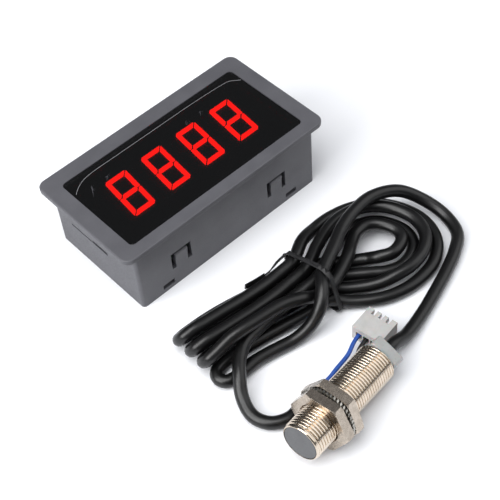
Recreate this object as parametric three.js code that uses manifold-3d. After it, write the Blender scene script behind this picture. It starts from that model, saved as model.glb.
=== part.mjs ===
// Panel tachometer: a four digit display unit, its threaded pickup sensor and the tied
// cable between the sensor and a three way plug. Millimetres, +Z up, and the origin is the
// middle of the display unit's rear face, which lies on the table.
import * as THREE from 'three';
import { mergeVertices } from 'three/addons/utils/BufferGeometryUtils.js';
import Module from 'manifold-3d';

const wasm = await Module();
wasm.setup();

// Clearances that every piece shares
const seatGap = 0.1;
const fitGap = 0.3;
const overrun = 1;

// Case and bezel of the display unit
const bezelLength = 79;
const bezelDepth = 43;
const unitHeight = 26;
const bezelThickness = 2;
const bezelCorner = 3;
const bezelBevel = 0.45;
const caseLength = 71.5;
const caseDepth = 39.6;
const caseWall = 1.8;
const caseCorner = 1.2;
const frontThickness = 3.4;
const postSide = 4.2;

// Smoked window in the bezel
const windowLength = 68.2;
const windowDepth = 33.1;
const windowShift = -0.7;
const windowCorner = 1.5;
const windowThickness = 1.5;
const windowSink = 0.1;
const ledgeWidth = 1.8;

// Four digit display behind the window
const digitCount = 4;
const digitPitch = 13.87;
const digitHeight = 15.6;
const digitWidth = 7.6;
const digitSlantDegrees = 6;
const digitShift = -0.35;
const barWidth = 1.9;
const barGap = 0.25;
const barHeight = 0.5;
const guideHeight = 0.5;
const guideMargin = 1.3;
const pointRadius = 0.95;
const displayMargin = 0.4;
const leadRowWidth = 2.4;
const leadRowHeight = 4.5;
const leadRowInset = 1.2;

// Circuit board and what is soldered to it
const boardThickness = 1.6;
const boardMargin = 0.7;
const controllerLength = 17.9;
const controllerWidth = 7.5;
const controllerHeight = 2.3;
const regulatorLength = 6.5;
const regulatorWidth = 6.1;
const capacitorRadius = 3.15;
const capacitorHeight = 5.4;
const capacitorPitch = 9;
const diodeLength = 4.4;
const diodeWidth = 2.7;
const diodeHeight = 2.2;
const crystalLength = 11.4;
const crystalWidth = 4.7;
const crystalHeight = 3.5;
const transistorLength = 2.9;
const transistorWidth = 1.4;
const transistorHeight = 1.1;
const partSpacing = 3;

// Pin headers behind the opening in the rear cover
const pinPitch = 2.5;
const pinSide = 0.64;
const pinHeight = 4.2;
const headerEnd = 2.45;
const headerDepth = 5.75;
const headerHeight = 6.4;
const headerWall = 0.8;
const headerFloor = 1.1;
const headerSpacing = 1.2;
const powerPins = 2;
const sensorPins = 3;

// Rear cover with its hooks
const coverThickness = 2;
const bayMargin = 0.8;
const bayInset = 8;
const hookPitch = 51;
const hookWidth = 3.8;
const hookThickness = 1.5;
const hookReach = 1.2;
const latchLength = 4.4;
const latchHeight = 1.8;
const latchBottom = 1.5;

// Snap tongues cut out of the long walls, and the slit in the left wall
const tonguePitch = 39;
const tongueWidth = 4.6;
const tongueRoot = 7.5;
const tongueLength = 5.6;
const tongueSideGap = 1.4;
const tongueEndGap = 0.85;
const tongueWedge = 0.3;
const slitLength = 17.1;
const slitShift = 3.55;
const slitHeight = 0.5;
const slitRise = 12.4;
const slitWideLength = 6.4;
const slitWideHeight = 0.9;

// Pickup sensor, lying with its nose raised by the nuts
const sensorFaceX = -38.9;
const sensorFaceY = -89.6;
const sensorFaceZ = 10.6;
const sensorHeadingDegrees = 8;
const sensorPitchDegrees = -6.3;
const barrelRadius = 6;
const barrelBore = 5;
const barrelLength = 35.3;
const barrelChamfer = 0.5;
const faceRadius = 5.3;
const faceThickness = 1.2;
const faceRim = 0.15;
const faceGap = 0.15;
const facePlug = 2.4;
const nutAcrossFlats = 17;
const nutThickness = 3.1;
const nutBore = 6.2;
const frontNutPlace = 8.2;
const frontNutTurnDegrees = -1.8;
const rearNutTurnDegrees = 5.3;
const washerThickness = 0.8;
const washerRadius = 9.25;
const washerRoot = 8.4;
const washerTeeth = 24;
const capSide = 9.4;
const capLength = 3.9;
const capTurnDegrees = 23;
const capPlug = 4.1;
const capPocket = 2.3;
const pickupLength = 4;
const pickupWidth = 3;
const pickupThickness = 1.5;
const sensorBoardWidth = 9;
const sensorBoardThickness = 1;
const lampRadius = 1.5;
const lampLength = 3;

// Round cable, its three wires and the plug
const cableDiameter = 4;
const cableSides = 8;
const cableStep = 9;
const coilSides = 6;
const wireDiameter = 1.3;
const sleeveDiameter = 3.6;
const sleeveSides = 12;
const sleeveStep = 2;
const wireSides = 8;
const wireStep = 3.2;
const plugLength = 8.6;
const plugWidth = 9.8;
const plugHeight = 5.8;
const plugX = 0.9;
const plugY = -75.8;
const plugTurnDegrees = 8;
const plugChannel = 2.1;
const notchDepth = 1.9;
const notchWidth = 1.2;
const contactSide = 1.5;
const contactInset = 1.4;

// Cable hank: four open loops on the right, folded back on the left, tied in the middle
const strandPitch = 4.95;
const layerLow = 2.2;
const layerTop = 7;
const oddLift = 3.4;
const tiePlane = 4;
const tieFloor = 3.1;
const lowLaneX = 3.2;
const lowLaneY = -58.2;
const lowLaneStepX = 1.2;
const lowLaneStepY = 4.6;
const topLaneX = 3.6;
const topLaneY = -43.2;
const topLaneStepX = 0.6;
const topLaneStepY = -4.75;
const tieTop = 7.8;
const foldTipX = -37.6;
const foldRadius = 3.6;
const foldHalf = 2;
const foldTop = 8.2;

// Twist tie round the hank
const tieWidth = 1.4;
const tieThickness = 0.5;
const tieSlack = 0.35;
const tieFlat = 3;
const tieSides = 24;
const tieStep = 1.2;

// Places worked out from the sizes above
const cavityLength = caseLength - 2 * caseWall;
const cavityDepth = caseDepth - 2 * caseWall;
const windowTop = unitHeight - windowSink;
const windowUnder = windowTop - windowThickness;
const displayLength = digitCount * digitPitch + displayMargin;
const displayDepth = digitHeight + 2 * guideMargin + displayMargin;
const displayTop = windowUnder - fitGap - guideHeight - barHeight;
const headerMouth = coverThickness + fitGap;
const boardUnder = headerMouth + headerHeight + seatGap;
const boardTop = boardUnder + boardThickness;
const displayUnder = boardTop + leadRowHeight + 2 * seatGap;
const displayHeight = displayTop - displayUnder;
const bayY = bayInset - cavityDepth / 2;
const powerLength = (powerPins - 1) * pinPitch + 2 * headerEnd;
const sensorLength = (sensorPins - 1) * pinPitch + 2 * headerEnd;
const headersLength = powerLength + headerSpacing + sensorLength;
const powerX = (powerLength - headersLength) / 2;
const sensorX = (headersLength - sensorLength) / 2;
const washerPlace = frontNutPlace + nutThickness + fitGap;
const rearNutPlace = washerPlace + washerThickness + fitGap;
const capPlace = barrelLength + fitGap;
const capEnd = capPlace + capLength;

const radians = THREE.MathUtils.degToRad;

// Finishes
function finish(color, roughness, metalness = 0) {
  return new THREE.MeshStandardMaterial({ color, roughness, metalness });
}

const greyPlastic = () => finish(0x5c5c60, 0.5);
const smokedPlastic = () => finish(0x0b0b0d, 0.08);
const darkPlastic = () => finish(0x1a1a1c, 0.6);
const litRed = () => finish(0xff2a1a, 0.35);
const boardGreen = () => finish(0x1e4d2b, 0.5);
const tinned = () => finish(0xb9bcc0, 0.3, 1);
const nickel = () => finish(0xc9b9a0, 0.28, 1);
const capWhite = () => finish(0xdedede, 0.35);
const faceGrey = () => finish(0x6e7076, 0.55);
const cableBlack = () => finish(0x161617, 0.45);
const plugWhite = () => finish(0xe8e6e1, 0.45);

// Geometry helpers: every solid is a welded, closed mesh
function weld(geometry) {
  geometry.deleteAttribute('normal');
  geometry.deleteAttribute('uv');
  return mergeVertices(geometry);
}

function toSolid(geometry) {
  const welded = weld(geometry);
  const mesh = new wasm.Mesh({
    numProp: 3,
    vertProperties: new Float32Array(welded.attributes.position.array),
    triVerts: new Uint32Array(welded.index.array),
  });
  return new wasm.Manifold(mesh);
}

function toGeometry(solid) {
  const mesh = solid.getMesh();
  const geometry = new THREE.BufferGeometry();
  geometry.setAttribute('position', new THREE.BufferAttribute(new Float32Array(mesh.vertProperties), 3));
  geometry.setIndex(new THREE.BufferAttribute(new Uint32Array(mesh.triVerts), 1));
  geometry.computeVertexNormals();
  return geometry;
}

function join(first, ...others) {
  return others.reduce((solid, other) => solid.add(other), first);
}

function cut(first, ...others) {
  return others.reduce((solid, other) => solid.subtract(other), first);
}

// A block given by its middle in X and Y, its underside and its size
function block(x, y, z, length, depth, height) {
  const geometry = new THREE.BoxGeometry(length, depth, height);
  geometry.translate(x, y, z + height / 2);
  return toSolid(geometry);
}

function roundedOutline(length, depth, radius) {
  const shape = new THREE.Shape();
  const x = length / 2 - radius;
  const y = depth / 2 - radius;
  shape.absarc(x, y, radius, 0, Math.PI / 2);
  shape.absarc(-x, y, radius, Math.PI / 2, Math.PI);
  shape.absarc(-x, -y, radius, Math.PI, Math.PI * 1.5);
  shape.absarc(x, -y, radius, Math.PI * 1.5, Math.PI * 2);
  return shape;
}

function plate(x, y, z, length, depth, height, radius, bevel = 0) {
  const outline = roundedOutline(length - 2 * bevel, depth - 2 * bevel, radius - bevel);
  const geometry = new THREE.ExtrudeGeometry(outline, {
    depth: height - 2 * bevel,
    curveSegments: 4,
    bevelEnabled: bevel > 0,
    bevelSize: bevel,
    bevelThickness: bevel,
    bevelSegments: 1,
  });
  geometry.translate(x, y, z + bevel);
  return toSolid(geometry);
}

function prism(shape, z, height) {
  const geometry = new THREE.ExtrudeGeometry(shape, { depth: height, bevelEnabled: false, curveSegments: 16 });
  geometry.translate(0, 0, z);
  return toSolid(geometry);
}

// A turned solid from a profile of [radius, height] points, its faces pointing out
function turned(profile, segments = 32) {
  const points = profile.map(([radius, height]) => new THREE.Vector2(radius, height));
  const geometry = new THREE.LatheGeometry(points, segments);
  geometry.rotateX(Math.PI / 2);
  return toSolid(facingOut(weld(geometry)));
}

function facingOut(geometry) {
  const index = geometry.index.array;
  const position = geometry.attributes.position;
  const corner = (i) => new THREE.Vector3().fromBufferAttribute(position, index[i]);
  let volume = 0;
  for (let i = 0; i < index.length; i += 3) {
    volume += corner(i).dot(corner(i + 1).cross(corner(i + 2)));
  }
  if (volume < 0) {
    for (let i = 0; i < index.length; i += 3) {
      const swap = index[i];
      index[i] = index[i + 1];
      index[i + 1] = swap;
    }
  }
  return geometry;
}

function cylinder(x, y, z, radius, height, segments = 24) {
  const geometry = new THREE.CylinderGeometry(radius, radius, height, segments);
  geometry.rotateX(Math.PI / 2);
  geometry.translate(x, y, z + height / 2);
  return toSolid(geometry);
}

function addPiece(parent, name, solid, material) {
  const mesh = new THREE.Mesh(toGeometry(solid), material);
  mesh.name = name;
  parent.add(mesh);
  return mesh;
}

// Case shell: walls, bezel, window seat, snap openings, latch windows and board posts
function caseShell() {
  const bezelUnder = unitHeight - bezelThickness;
  const walls = plate(0, 0, 0, caseLength, caseDepth, unitHeight - bezelThickness / 2, caseCorner);
  const bezel = plate(0, 0, bezelUnder, bezelLength, bezelDepth, bezelThickness, bezelCorner, bezelBevel);
  const inside = unitHeight - frontThickness;
  const cavity = block(0, 0, -overrun, cavityLength, cavityDepth, inside + overrun);
  const seat = windowUnder - seatGap;
  const recess = plate(0, windowShift, seat, windowLength, windowDepth, windowThickness + overrun, windowCorner);
  const aperture = block(
    0, windowShift, inside - overrun,
    windowLength - 2 * ledgeWidth, windowDepth - 2 * ledgeWidth, frontThickness + overrun,
  );
  const shell = cut(join(walls, bezel), cavity, recess, aperture, ...tongueOpenings(), ...latchWindows(), ...slit());
  return join(shell, ...casePosts(inside));
}

function cornerPlaces(side) {
  const x = (cavityLength - side) / 2;
  const y = (cavityDepth - side) / 2;
  return [[x, y], [-x, y], [-x, -y], [x, -y]];
}

function casePosts(inside) {
  const foot = boardTop + seatGap;
  const side = postSide + caseWall / 2;
  const bite = caseWall / 2;
  return cornerPlaces(postSide).map(([x, y]) => block(
    x + Math.sign(x) * bite / 2, y + Math.sign(y) * bite / 2, foot, side, side, inside - foot + bite,
  ));
}

function tonguePlaces() {
  const places = [];
  for (const [row, side] of [['front', -1], ['back', 1]]) {
    for (const [end, sign] of [['left', -1], ['right', 1]]) {
      places.push({ name: `snap_tongue_${row}_${end}`, side, x: sign * tonguePitch / 2 });
    }
  }
  return places;
}

function tongueOpenings() {
  const length = tongueWidth + 2 * tongueSideGap;
  const height = tongueLength + fitGap + tongueEndGap;
  const wallMiddle = (caseDepth - caseWall) / 2;
  return tonguePlaces().map(({ x, side }) => block(
    x, side * wallMiddle, tongueRoot, length, caseWall + 2 * overrun, height,
  ));
}

function latchWindows() {
  const wallMiddle = (caseDepth - caseWall) / 2;
  const windows = [];
  for (const side of [-1, 1]) {
    for (const end of [-1, 1]) {
      windows.push(block(
        end * hookPitch / 2, side * wallMiddle, latchBottom,
        latchLength, caseWall + 2 * overrun, latchHeight,
      ));
    }
  }
  return windows;
}

function slit() {
  const x = (caseWall - caseLength) / 2;
  const through = caseWall + 2 * overrun;
  const wideY = slitShift - (slitLength - slitWideLength) / 2;
  return [
    block(x, slitShift, slitRise, through, slitLength, slitHeight),
    block(x, wideY, slitRise, through, slitWideLength, slitWideHeight),
  ];
}

// One snap tongue: a tab of the wall with a shallow wedge at its free end
function snapTongue(side) {
  const outer = side * caseDepth / 2;
  const inner = side * (caseDepth / 2 - caseWall);
  const foot = tongueRoot + fitGap;
  const end = foot + tongueLength;
  const outline = new THREE.Shape([
    new THREE.Vector2(inner, foot),
    new THREE.Vector2(outer, foot),
    new THREE.Vector2(outer, foot + tongueLength / 2),
    new THREE.Vector2(outer + side * tongueWedge, end - tongueWedge),
    new THREE.Vector2(outer, end),
    new THREE.Vector2(inner, end),
  ]);
  const geometry = new THREE.ExtrudeGeometry(outline, { depth: tongueWidth, bevelEnabled: false });
  geometry.translate(0, 0, -tongueWidth / 2);
  geometry.applyMatrix4(new THREE.Matrix4().makeBasis(
    new THREE.Vector3(0, 1, 0), new THREE.Vector3(0, 0, 1), new THREE.Vector3(1, 0, 0),
  ));
  return toSolid(facingOut(weld(geometry)));
}

// Rear cover: plate, connector opening, board posts and four hooks
function rearCover() {
  const length = cavityLength - 2 * fitGap;
  const depth = cavityDepth - 2 * fitGap;
  const base = block(0, 0, 0, length, depth, coverThickness);
  const bay = block(
    0, bayY, -overrun,
    headersLength + 2 * bayMargin, headerDepth + 2 * bayMargin, coverThickness + 2 * overrun,
  );
  const postTop = boardUnder - seatGap;
  const posts = cornerPlaces(postSide + 2 * fitGap).map(([x, y]) => block(
    x, y, 0, postSide, postSide, postTop,
  ));
  return join(cut(base, bay), ...posts, ...coverHooks());
}

function coverHooks() {
  const hooks = [];
  const armY = cavityDepth / 2 - fitGap - hookThickness / 2;
  const nubBottom = latchBottom + fitGap;
  const nubHeight = latchHeight - 2 * fitGap;
  for (const side of [-1, 1]) {
    for (const end of [-1, 1]) {
      const x = end * hookPitch / 2;
      hooks.push(block(x, side * armY, 0, hookWidth, hookThickness, nubBottom + nubHeight));
      hooks.push(block(
        x, side * (armY + (hookThickness + hookReach) / 2 - overrun / 4), nubBottom,
        hookWidth, hookReach + overrun / 2, nubHeight,
      ));
    }
  }
  return hooks;
}

// Smoked window plate
function displayWindow() {
  return plate(
    0, windowShift, windowUnder,
    windowLength - fitGap, windowDepth - fitGap, windowThickness, windowCorner - fitGap / 2, windowSink,
  );
}

// Display block and the two lead rows that stand it on the board
function displayBody() {
  return block(0, digitShift, displayUnder, displayLength, displayDepth, displayHeight);
}

function leadRow(side) {
  const y = digitShift + side * ((displayDepth - leadRowWidth) / 2 - leadRowInset);
  const length = displayLength - digitWidth;
  return block(0, y, boardTop + seatGap, length, leadRowWidth, leadRowHeight);
}

// One digit: a thin guide plate with seven slanted bars and a point on it
function digit(number) {
  const x = (number - (digitCount + 1) / 2) * digitPitch;
  const z = displayTop + seatGap;
  const guide = block(
    x, digitShift, z,
    digitPitch - displayMargin, digitHeight + 2 * guideMargin, guideHeight,
  );
  const bars = digitBars().map((shape) => {
    const geometry = new THREE.ExtrudeGeometry(shape, { depth: guideHeight / 2 + barHeight, bevelEnabled: false });
    geometry.translate(x, digitShift, z + guideHeight / 2);
    return toSolid(geometry);
  });
  const pointX = x + digitWidth / 2 + pointRadius + barGap;
  const pointY = digitShift - digitHeight / 2 + pointRadius;
  const point = cylinder(pointX, pointY, z + guideHeight / 2, pointRadius, guideHeight / 2 + barHeight, 10);
  return join(guide, ...bars, point);
}

function digitBars() {
  const half = barWidth / 2;
  const right = digitWidth / 2 - half;
  const top = digitHeight / 2 - half;
  const lean = Math.tan(radians(digitSlantDegrees));
  const slanted = (x, y) => new THREE.Vector2(x + y * lean, y);
  const bar = (x0, y0, x1, y1) => {
    const along = new THREE.Vector2(x1 - x0, y1 - y0).normalize();
    const across = new THREE.Vector2(-along.y, along.x);
    const place = (x, y, a, c) => slanted(x + along.x * a + across.x * c, y + along.y * a + across.y * c);
    return new THREE.Shape([
      place(x0, y0, barGap, 0),
      place(x0, y0, barGap + half, -half),
      place(x1, y1, -barGap - half, -half),
      place(x1, y1, -barGap, 0),
      place(x1, y1, -barGap - half, half),
      place(x0, y0, barGap + half, half),
    ]);
  };
  const level = [-top, 0, top].map((y) => bar(-right, y, right, y));
  const upright = [-right, right].flatMap((x) => [bar(x, -top, x, 0), bar(x, 0, x, top)]);
  return [...level, ...upright];
}

// Board and the parts soldered to its rear side
function mainBoard() {
  return block(
    0, 0, boardUnder,
    cavityLength - 2 * boardMargin, cavityDepth - 2 * boardMargin, boardThickness,
  );
}

function underBoard(x, y, length, depth, height) {
  return block(x, y, boardUnder - seatGap - height, length, depth, height);
}

function addBoardParts(parent) {
  const rowY = controllerWidth / 2 + partSpacing;
  const chipX = -controllerLength / 2 - partSpacing;
  const regulatorX = headersLength / 2 + bayMargin + partSpacing + regulatorLength / 2;
  const crystalX = partSpacing + crystalLength / 2;
  const inputX = crystalX + crystalLength / 2 + partSpacing + capacitorRadius;
  const outputX = regulatorX + regulatorLength / 2 + partSpacing + capacitorRadius;
  const diodeX = -headersLength / 2 - bayMargin - partSpacing - diodeLength / 2;
  const transistorX = diodeX - diodeLength / 2 - partSpacing - transistorLength / 2;
  const capacitorFoot = boardUnder - seatGap - capacitorHeight;
  addPiece(parent, 'microcontroller',
    underBoard(chipX, rowY, controllerLength, controllerWidth, controllerHeight), darkPlastic());
  addPiece(parent, 'voltage_regulator',
    underBoard(regulatorX, bayY, regulatorLength, regulatorWidth, controllerHeight), darkPlastic());
  addPiece(parent, 'crystal',
    underBoard(crystalX, rowY, crystalLength, crystalWidth, crystalHeight), tinned());
  addPiece(parent, 'input_capacitor',
    cylinder(inputX, rowY, capacitorFoot, capacitorRadius, capacitorHeight), tinned());
  addPiece(parent, 'output_capacitor',
    cylinder(outputX, rowY - capacitorPitch, capacitorFoot, capacitorRadius, capacitorHeight), tinned());
  addPiece(parent, 'protection_diode',
    underBoard(diodeX, bayY, diodeLength, diodeWidth, diodeHeight), darkPlastic());
  addPiece(parent, 'input_transistor',
    underBoard(transistorX, bayY, transistorLength, transistorWidth, transistorHeight), darkPlastic());
}

// An open topped pin header, its mouth facing the rear cover's opening
function pinHeader(x, length) {
  const shell = underBoard(x, bayY, length, headerDepth, headerHeight);
  const hollow = block(
    x, bayY, headerMouth - overrun,
    length - 2 * headerWall, headerDepth - 2 * headerWall, headerHeight - headerFloor + overrun,
  );
  return cut(shell, hollow);
}

function addHeader(parent, name, x, length, pins) {
  addPiece(parent, `${name}_header`, pinHeader(x, length), plugWhite());
  const pinTop = headerMouth + headerHeight - headerFloor - seatGap;
  for (let pin = 1; pin <= pins; pin += 1) {
    const pinX = x + (pin - (pins + 1) / 2) * pinPitch;
    const solid = block(pinX, bayY, pinTop - pinHeight, pinSide, pinSide, pinHeight);
    addPiece(parent, `${name}_pin_${pin}`, solid, tinned());
  }
}

function displayUnit() {
  const unit = new THREE.Group();
  addPiece(unit, 'case_shell', caseShell(), greyPlastic());
  for (const { name, x, side } of tonguePlaces()) {
    addPiece(unit, name, snapTongue(side), greyPlastic()).position.set(x, 0, 0);
  }
  addPiece(unit, 'rear_cover', rearCover(), greyPlastic());
  addPiece(unit, 'display_window', displayWindow(), smokedPlastic());
  addPiece(unit, 'display_body', displayBody(), darkPlastic());
  for (let number = 1; number <= digitCount; number += 1) {
    addPiece(unit, `digit_${number}`, digit(number), litRed());
  }
  addPiece(unit, 'front_lead_row', leadRow(-1), darkPlastic());
  addPiece(unit, 'back_lead_row', leadRow(1), darkPlastic());
  addPiece(unit, 'main_board', mainBoard(), boardGreen());
  addBoardParts(unit);
  addHeader(unit, 'power', powerX, powerLength, powerPins);
  addHeader(unit, 'sensor', sensorX, sensorLength, sensorPins);
  return unit;
}

// Sensor frame: local Z runs from the sensing face to the cable, local X points to the back
function sensorAxes() {
  const heading = radians(sensorHeadingDegrees);
  const pitch = radians(sensorPitchDegrees);
  const along = new THREE.Vector3(
    Math.cos(heading) * Math.cos(pitch), Math.sin(heading) * Math.cos(pitch), Math.sin(pitch),
  );
  const side = new THREE.Vector3(0, 0, 1).cross(along).normalize();
  const up = new THREE.Vector3().crossVectors(along, side);
  return { along, side, up };
}

const axes = sensorAxes();
const sensorFace = new THREE.Vector3(sensorFaceX, sensorFaceY, sensorFaceZ);
const onSensorAxis = (distance) => sensorFace.clone().addScaledVector(axes.along, distance);

function sensorBarrel() {
  const seat = faceRadius + faceGap;
  const front = seat + faceRim;
  return turned([
    [seat, 0],
    [front, 0],
    [barrelRadius, barrelChamfer],
    [barrelRadius, barrelLength - barrelChamfer],
    [barrelRadius - barrelChamfer, barrelLength],
    [barrelBore, barrelLength],
    [barrelBore, faceThickness],
    [seat, faceThickness],
    [seat, 0],
  ]);
}

function sensingFace() {
  const rim = faceThickness - seatGap;
  const plug = barrelBore - faceGap;
  return turned([[0, 0], [faceRadius, 0], [faceRadius, rim], [plug, rim], [plug, rim + facePlug], [0, rim + facePlug]]);
}

function rearCap() {
  const square = plate(0, 0, capPlace, capSide, capSide, capLength, overrun, windowSink);
  const plugEnd = barrelLength - capPlug;
  const plug = cylinder(0, 0, plugEnd, barrelBore - faceGap, capPlug + fitGap + overrun, 32);
  const pocket = cylinder(0, 0, plugEnd - overrun, capPocket, capPlug + overrun, 16);
  return cut(join(square, plug), pocket).rotate([0, 0, capTurnDegrees]);
}

function hexagonNut(place, turnDegrees) {
  const corner = nutAcrossFlats / Math.sqrt(3);
  const outline = new THREE.Shape();
  for (let side = 0; side < 6; side += 1) {
    const angle = radians(turnDegrees + side * 60);
    const point = [corner * Math.cos(angle), corner * Math.sin(angle)];
    if (side === 0) outline.moveTo(...point);
    else outline.lineTo(...point);
  }
  outline.closePath();
  outline.holes.push(new THREE.Path().absarc(0, 0, nutBore, 0, Math.PI * 2));
  return prism(outline, place, nutThickness);
}

function lockWasher() {
  const outline = new THREE.Shape();
  for (let tooth = 0; tooth < washerTeeth; tooth += 1) {
    const start = tooth / washerTeeth * Math.PI * 2;
    const quarter = Math.PI / washerTeeth / 2;
    for (const [share, radius] of [[0, washerRoot], [1, washerRadius], [3, washerRadius], [4, washerRoot]]) {
      const angle = start + share * quarter;
      const point = [radius * Math.cos(angle), radius * Math.sin(angle)];
      if (tooth === 0 && share === 0) outline.moveTo(...point);
      else outline.lineTo(...point);
    }
  }
  outline.closePath();
  outline.holes.push(new THREE.Path().absarc(0, 0, nutBore, 0, Math.PI * 2));
  return prism(outline, washerPlace, washerThickness);
}

function sensor() {
  const group = new THREE.Group();
  const basis = new THREE.Matrix4().makeBasis(axes.side, axes.up, axes.along);
  group.quaternion.setFromRotationMatrix(basis);
  group.position.copy(sensorFace);
  const faceBack = faceThickness - seatGap + facePlug;
  const pickupPlace = faceBack + seatGap;
  const boardPlace = pickupPlace + pickupThickness + seatGap;
  const boardEnd = barrelLength - capPlug - fitGap;
  addPiece(group, 'sensor_barrel', sensorBarrel(), nickel());
  addPiece(group, 'sensing_face', sensingFace(), faceGrey());
  addPiece(group, 'pickup_element',
    block(0, 0, pickupPlace, pickupLength, pickupWidth, pickupThickness), darkPlastic());
  addPiece(group, 'sensor_board',
    block(0, 0, boardPlace, sensorBoardWidth, sensorBoardThickness, boardEnd - boardPlace), boardGreen());
  addPiece(group, 'indicator_lamp',
    cylinder(0, 0, boardEnd + seatGap, lampRadius, lampLength, 12), litRed());
  addPiece(group, 'rear_cap', rearCap(), capWhite());
  addPiece(group, 'front_nut', hexagonNut(frontNutPlace, frontNutTurnDegrees), nickel());
  addPiece(group, 'lock_washer', lockWasher(), tinned());
  addPiece(group, 'rear_nut', hexagonNut(rearNutPlace, rearNutTurnDegrees), nickel());
  return group;
}

// Cable route, from the sensor round the right of the hank to where it joins the loops
const leadPoints = [
  [9.9, -83.0, 3.4], [19.6, -80.6, 2.1], [29.5, -77.6, 2.1], [37, -75, 2.1], [43.5, -72.2, 2.1],
  [49.4, -68.1, 2.1], [52.0, -60.6, 2.6], [50.3, -52.8, 5], [45.3, -47.2, 8.6], [36.6, -44.1, 10.6],
  [27.5, -44.7, 11], [20, -47.1, 11.4], [12.5, -51.0, 12],
];
const leadTie = [tiePlane, -55.2, 12.2];

// The low loop at the front of the hank, its fold and the run back to the tie
const lowLoopPoints = [
  [0.4, -58.9, 12.3], [-3.2, -61.7, 10.1], [-7.4, -62.2, 5.6], [-12.5, -61.1, 2.5], [-19, -59.5, 2.1],
  [-25.5, -58.0, 2.1], [-31.5, -58.1, 2.1], [-35.6, -57.2, 2.1], [-36.9, -54.8, 2.1], [-34.4, -52.5, 2.1],
  [-29, -52.3, 2.1], [-21, -53.4, 2.1], [-12, -55.2, 2.1], [-4, -57.0, 2.3],
];

// Outline of the outer loop: x, y, share of the odd loops' lift, share of the climb to the top
const loopOutline = [
  [8, -63, 0, 0], [15, -68.4, 0.25, 0], [21.5, -71, 0.75, 0], [28.5, -71.7, 1, 0],
  [36.5, -70.2, 1, 0], [43, -65.3, 1, 0], [46, -57.5, 1, 0], [44.8, -49.3, 1, 0],
  [40.6, -42.3, 1, 0], [34.2, -38, 1, 0], [26.5, -36.2, 1, 0.12], [19, -36.8, 1, 0.4], [11.4, -39.2, 1, 1],
];

// The three top strands on the left, by the loop that each one comes from
const foldRuns = {
  0: { tipY: -38.9, run: [[-5, -43.3, 7.2], [-15, -42.9, 7.5], [-25.5, -41.8, 8]] },
  3: {
    tipY: -49.5,
    run: [[-0.5, -57.3, 8], [-5.5, -56.1, 10.3], [-11, -54.4, 11.3], [-18, -53.4, 11.5], [-25.5, -52.6, 11.5],
      [-29.5, -52, 10.8]],
  },
  1: { tipY: -44.2, run: [[-5, -48, 7.2], [-15, -47.9, 7.5], [-25.5, -47.1, 8]] },
};

// The end of the cable, from the tie over the low loop to the stripped wires
const tailPoints = [
  [-5, -52.5, 6.9], [-14, -52.7, 6.8], [-20.5, -53, 6.8], [-25.5, -53.8, 6.8], [-30.2, -56.6, 6.8],
  [-34.2, -60.6, 6.2], [-37.6, -65.4, 3.4], [-38.9, -71, 2.1], [-36.9, -75.9, 2.1], [-32.2, -78.4, 2.1],
  [-26.6, -77.9, 2.1],
];
const foldReturnShares = [[-25, 0.92], [-14, 0.66], [-4.5, 0.34]];
const loopOrder = [0, 3, 1, 2];

const lowLane = (rank) => [lowLaneX + rank * lowLaneStepX, lowLaneY + rank * lowLaneStepY, tieFloor];
const topLane = (rank) => [topLaneX + rank * topLaneStepX, topLaneY + rank * topLaneStepY, tieTop];

function loopHeight(rank, lift, climb) {
  const base = layerLow + (rank % 2) * oddLift * lift;
  return base + (layerTop - base) * climb;
}

// The points of one open loop: the outline, moved inward by the strands that lie outside it
function openLoop(rank) {
  const ends = [lowLane(0), ...loopOutline, topLane(0)];
  return loopOutline.map(([x, y, lift, climb], i) => {
    const along = new THREE.Vector2(ends[i + 2][0] - ends[i][0], ends[i + 2][1] - ends[i][1]).normalize();
    let inward = 0;
    for (let outer = 1; outer <= rank; outer += 1) {
      const rise = loopHeight(outer, lift, climb) - loopHeight(outer - 1, lift, climb);
      inward += Math.sqrt(strandPitch ** 2 - rise ** 2);
    }
    return [x - along.y * inward, y + along.x * inward, loopHeight(rank, lift, climb)];
  });
}

// One fold on the left: along the top, round a tilted half turn and back along the table
function leftFold(fromRank, toRank) {
  const { tipY, run } = foldRuns[fromRank];
  const arcX = foldTipX + foldRadius;
  const middle = (foldTop + layerLow) / 2;
  const rise = (foldTop - layerLow) / 2;
  const points = [...run, [arcX, tipY - foldHalf, foldTop]];
  for (const degrees of [45, 90, 135]) {
    const turn = radians(degrees);
    points.push([arcX - Math.sin(turn) * foldRadius, tipY - foldHalf * Math.cos(turn), middle + rise * Math.cos(turn)]);
  }
  points.push([arcX, tipY + foldHalf, layerLow]);
  const laneY = lowLane(toRank)[1];
  for (const [x, share] of foldReturnShares) {
    points.push([x, laneY + (tipY + foldHalf - laneY) * share, layerLow]);
  }
  return points;
}

function cableRoute() {
  const route = [
    onSensorAxis(capEnd + fitGap).toArray(), onSensorAxis(capEnd + cableDiameter).toArray(),
    ...leadPoints, leadTie, ...lowLoopPoints,
  ];
  loopOrder.forEach((rank, i) => {
    route.push(lowLane(rank), ...openLoop(rank), topLane(rank));
    if (i + 1 < loopOrder.length) route.push(...leftFold(rank, loopOrder[i + 1]));
  });
  route.push(...tailPoints);
  return route.map((point) => new THREE.Vector3(...point));
}

const cablePoints = cableRoute();
const cableCurve = new THREE.CatmullRomCurve3(cablePoints, false, 'centripetal');
cableCurve.arcLengthDivisions = 5000;
const cableLength = cableCurve.getLength();

// Distance along the cable of one of its route points
function reach(index) {
  const lengths = cableCurve.getLengths();
  return lengths[Math.round(index / (cablePoints.length - 1) * cableCurve.arcLengthDivisions)];
}

const hankStart = reach(6);
const hankEnd = reach(cablePoints.length - 4) - cableDiameter;

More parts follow.
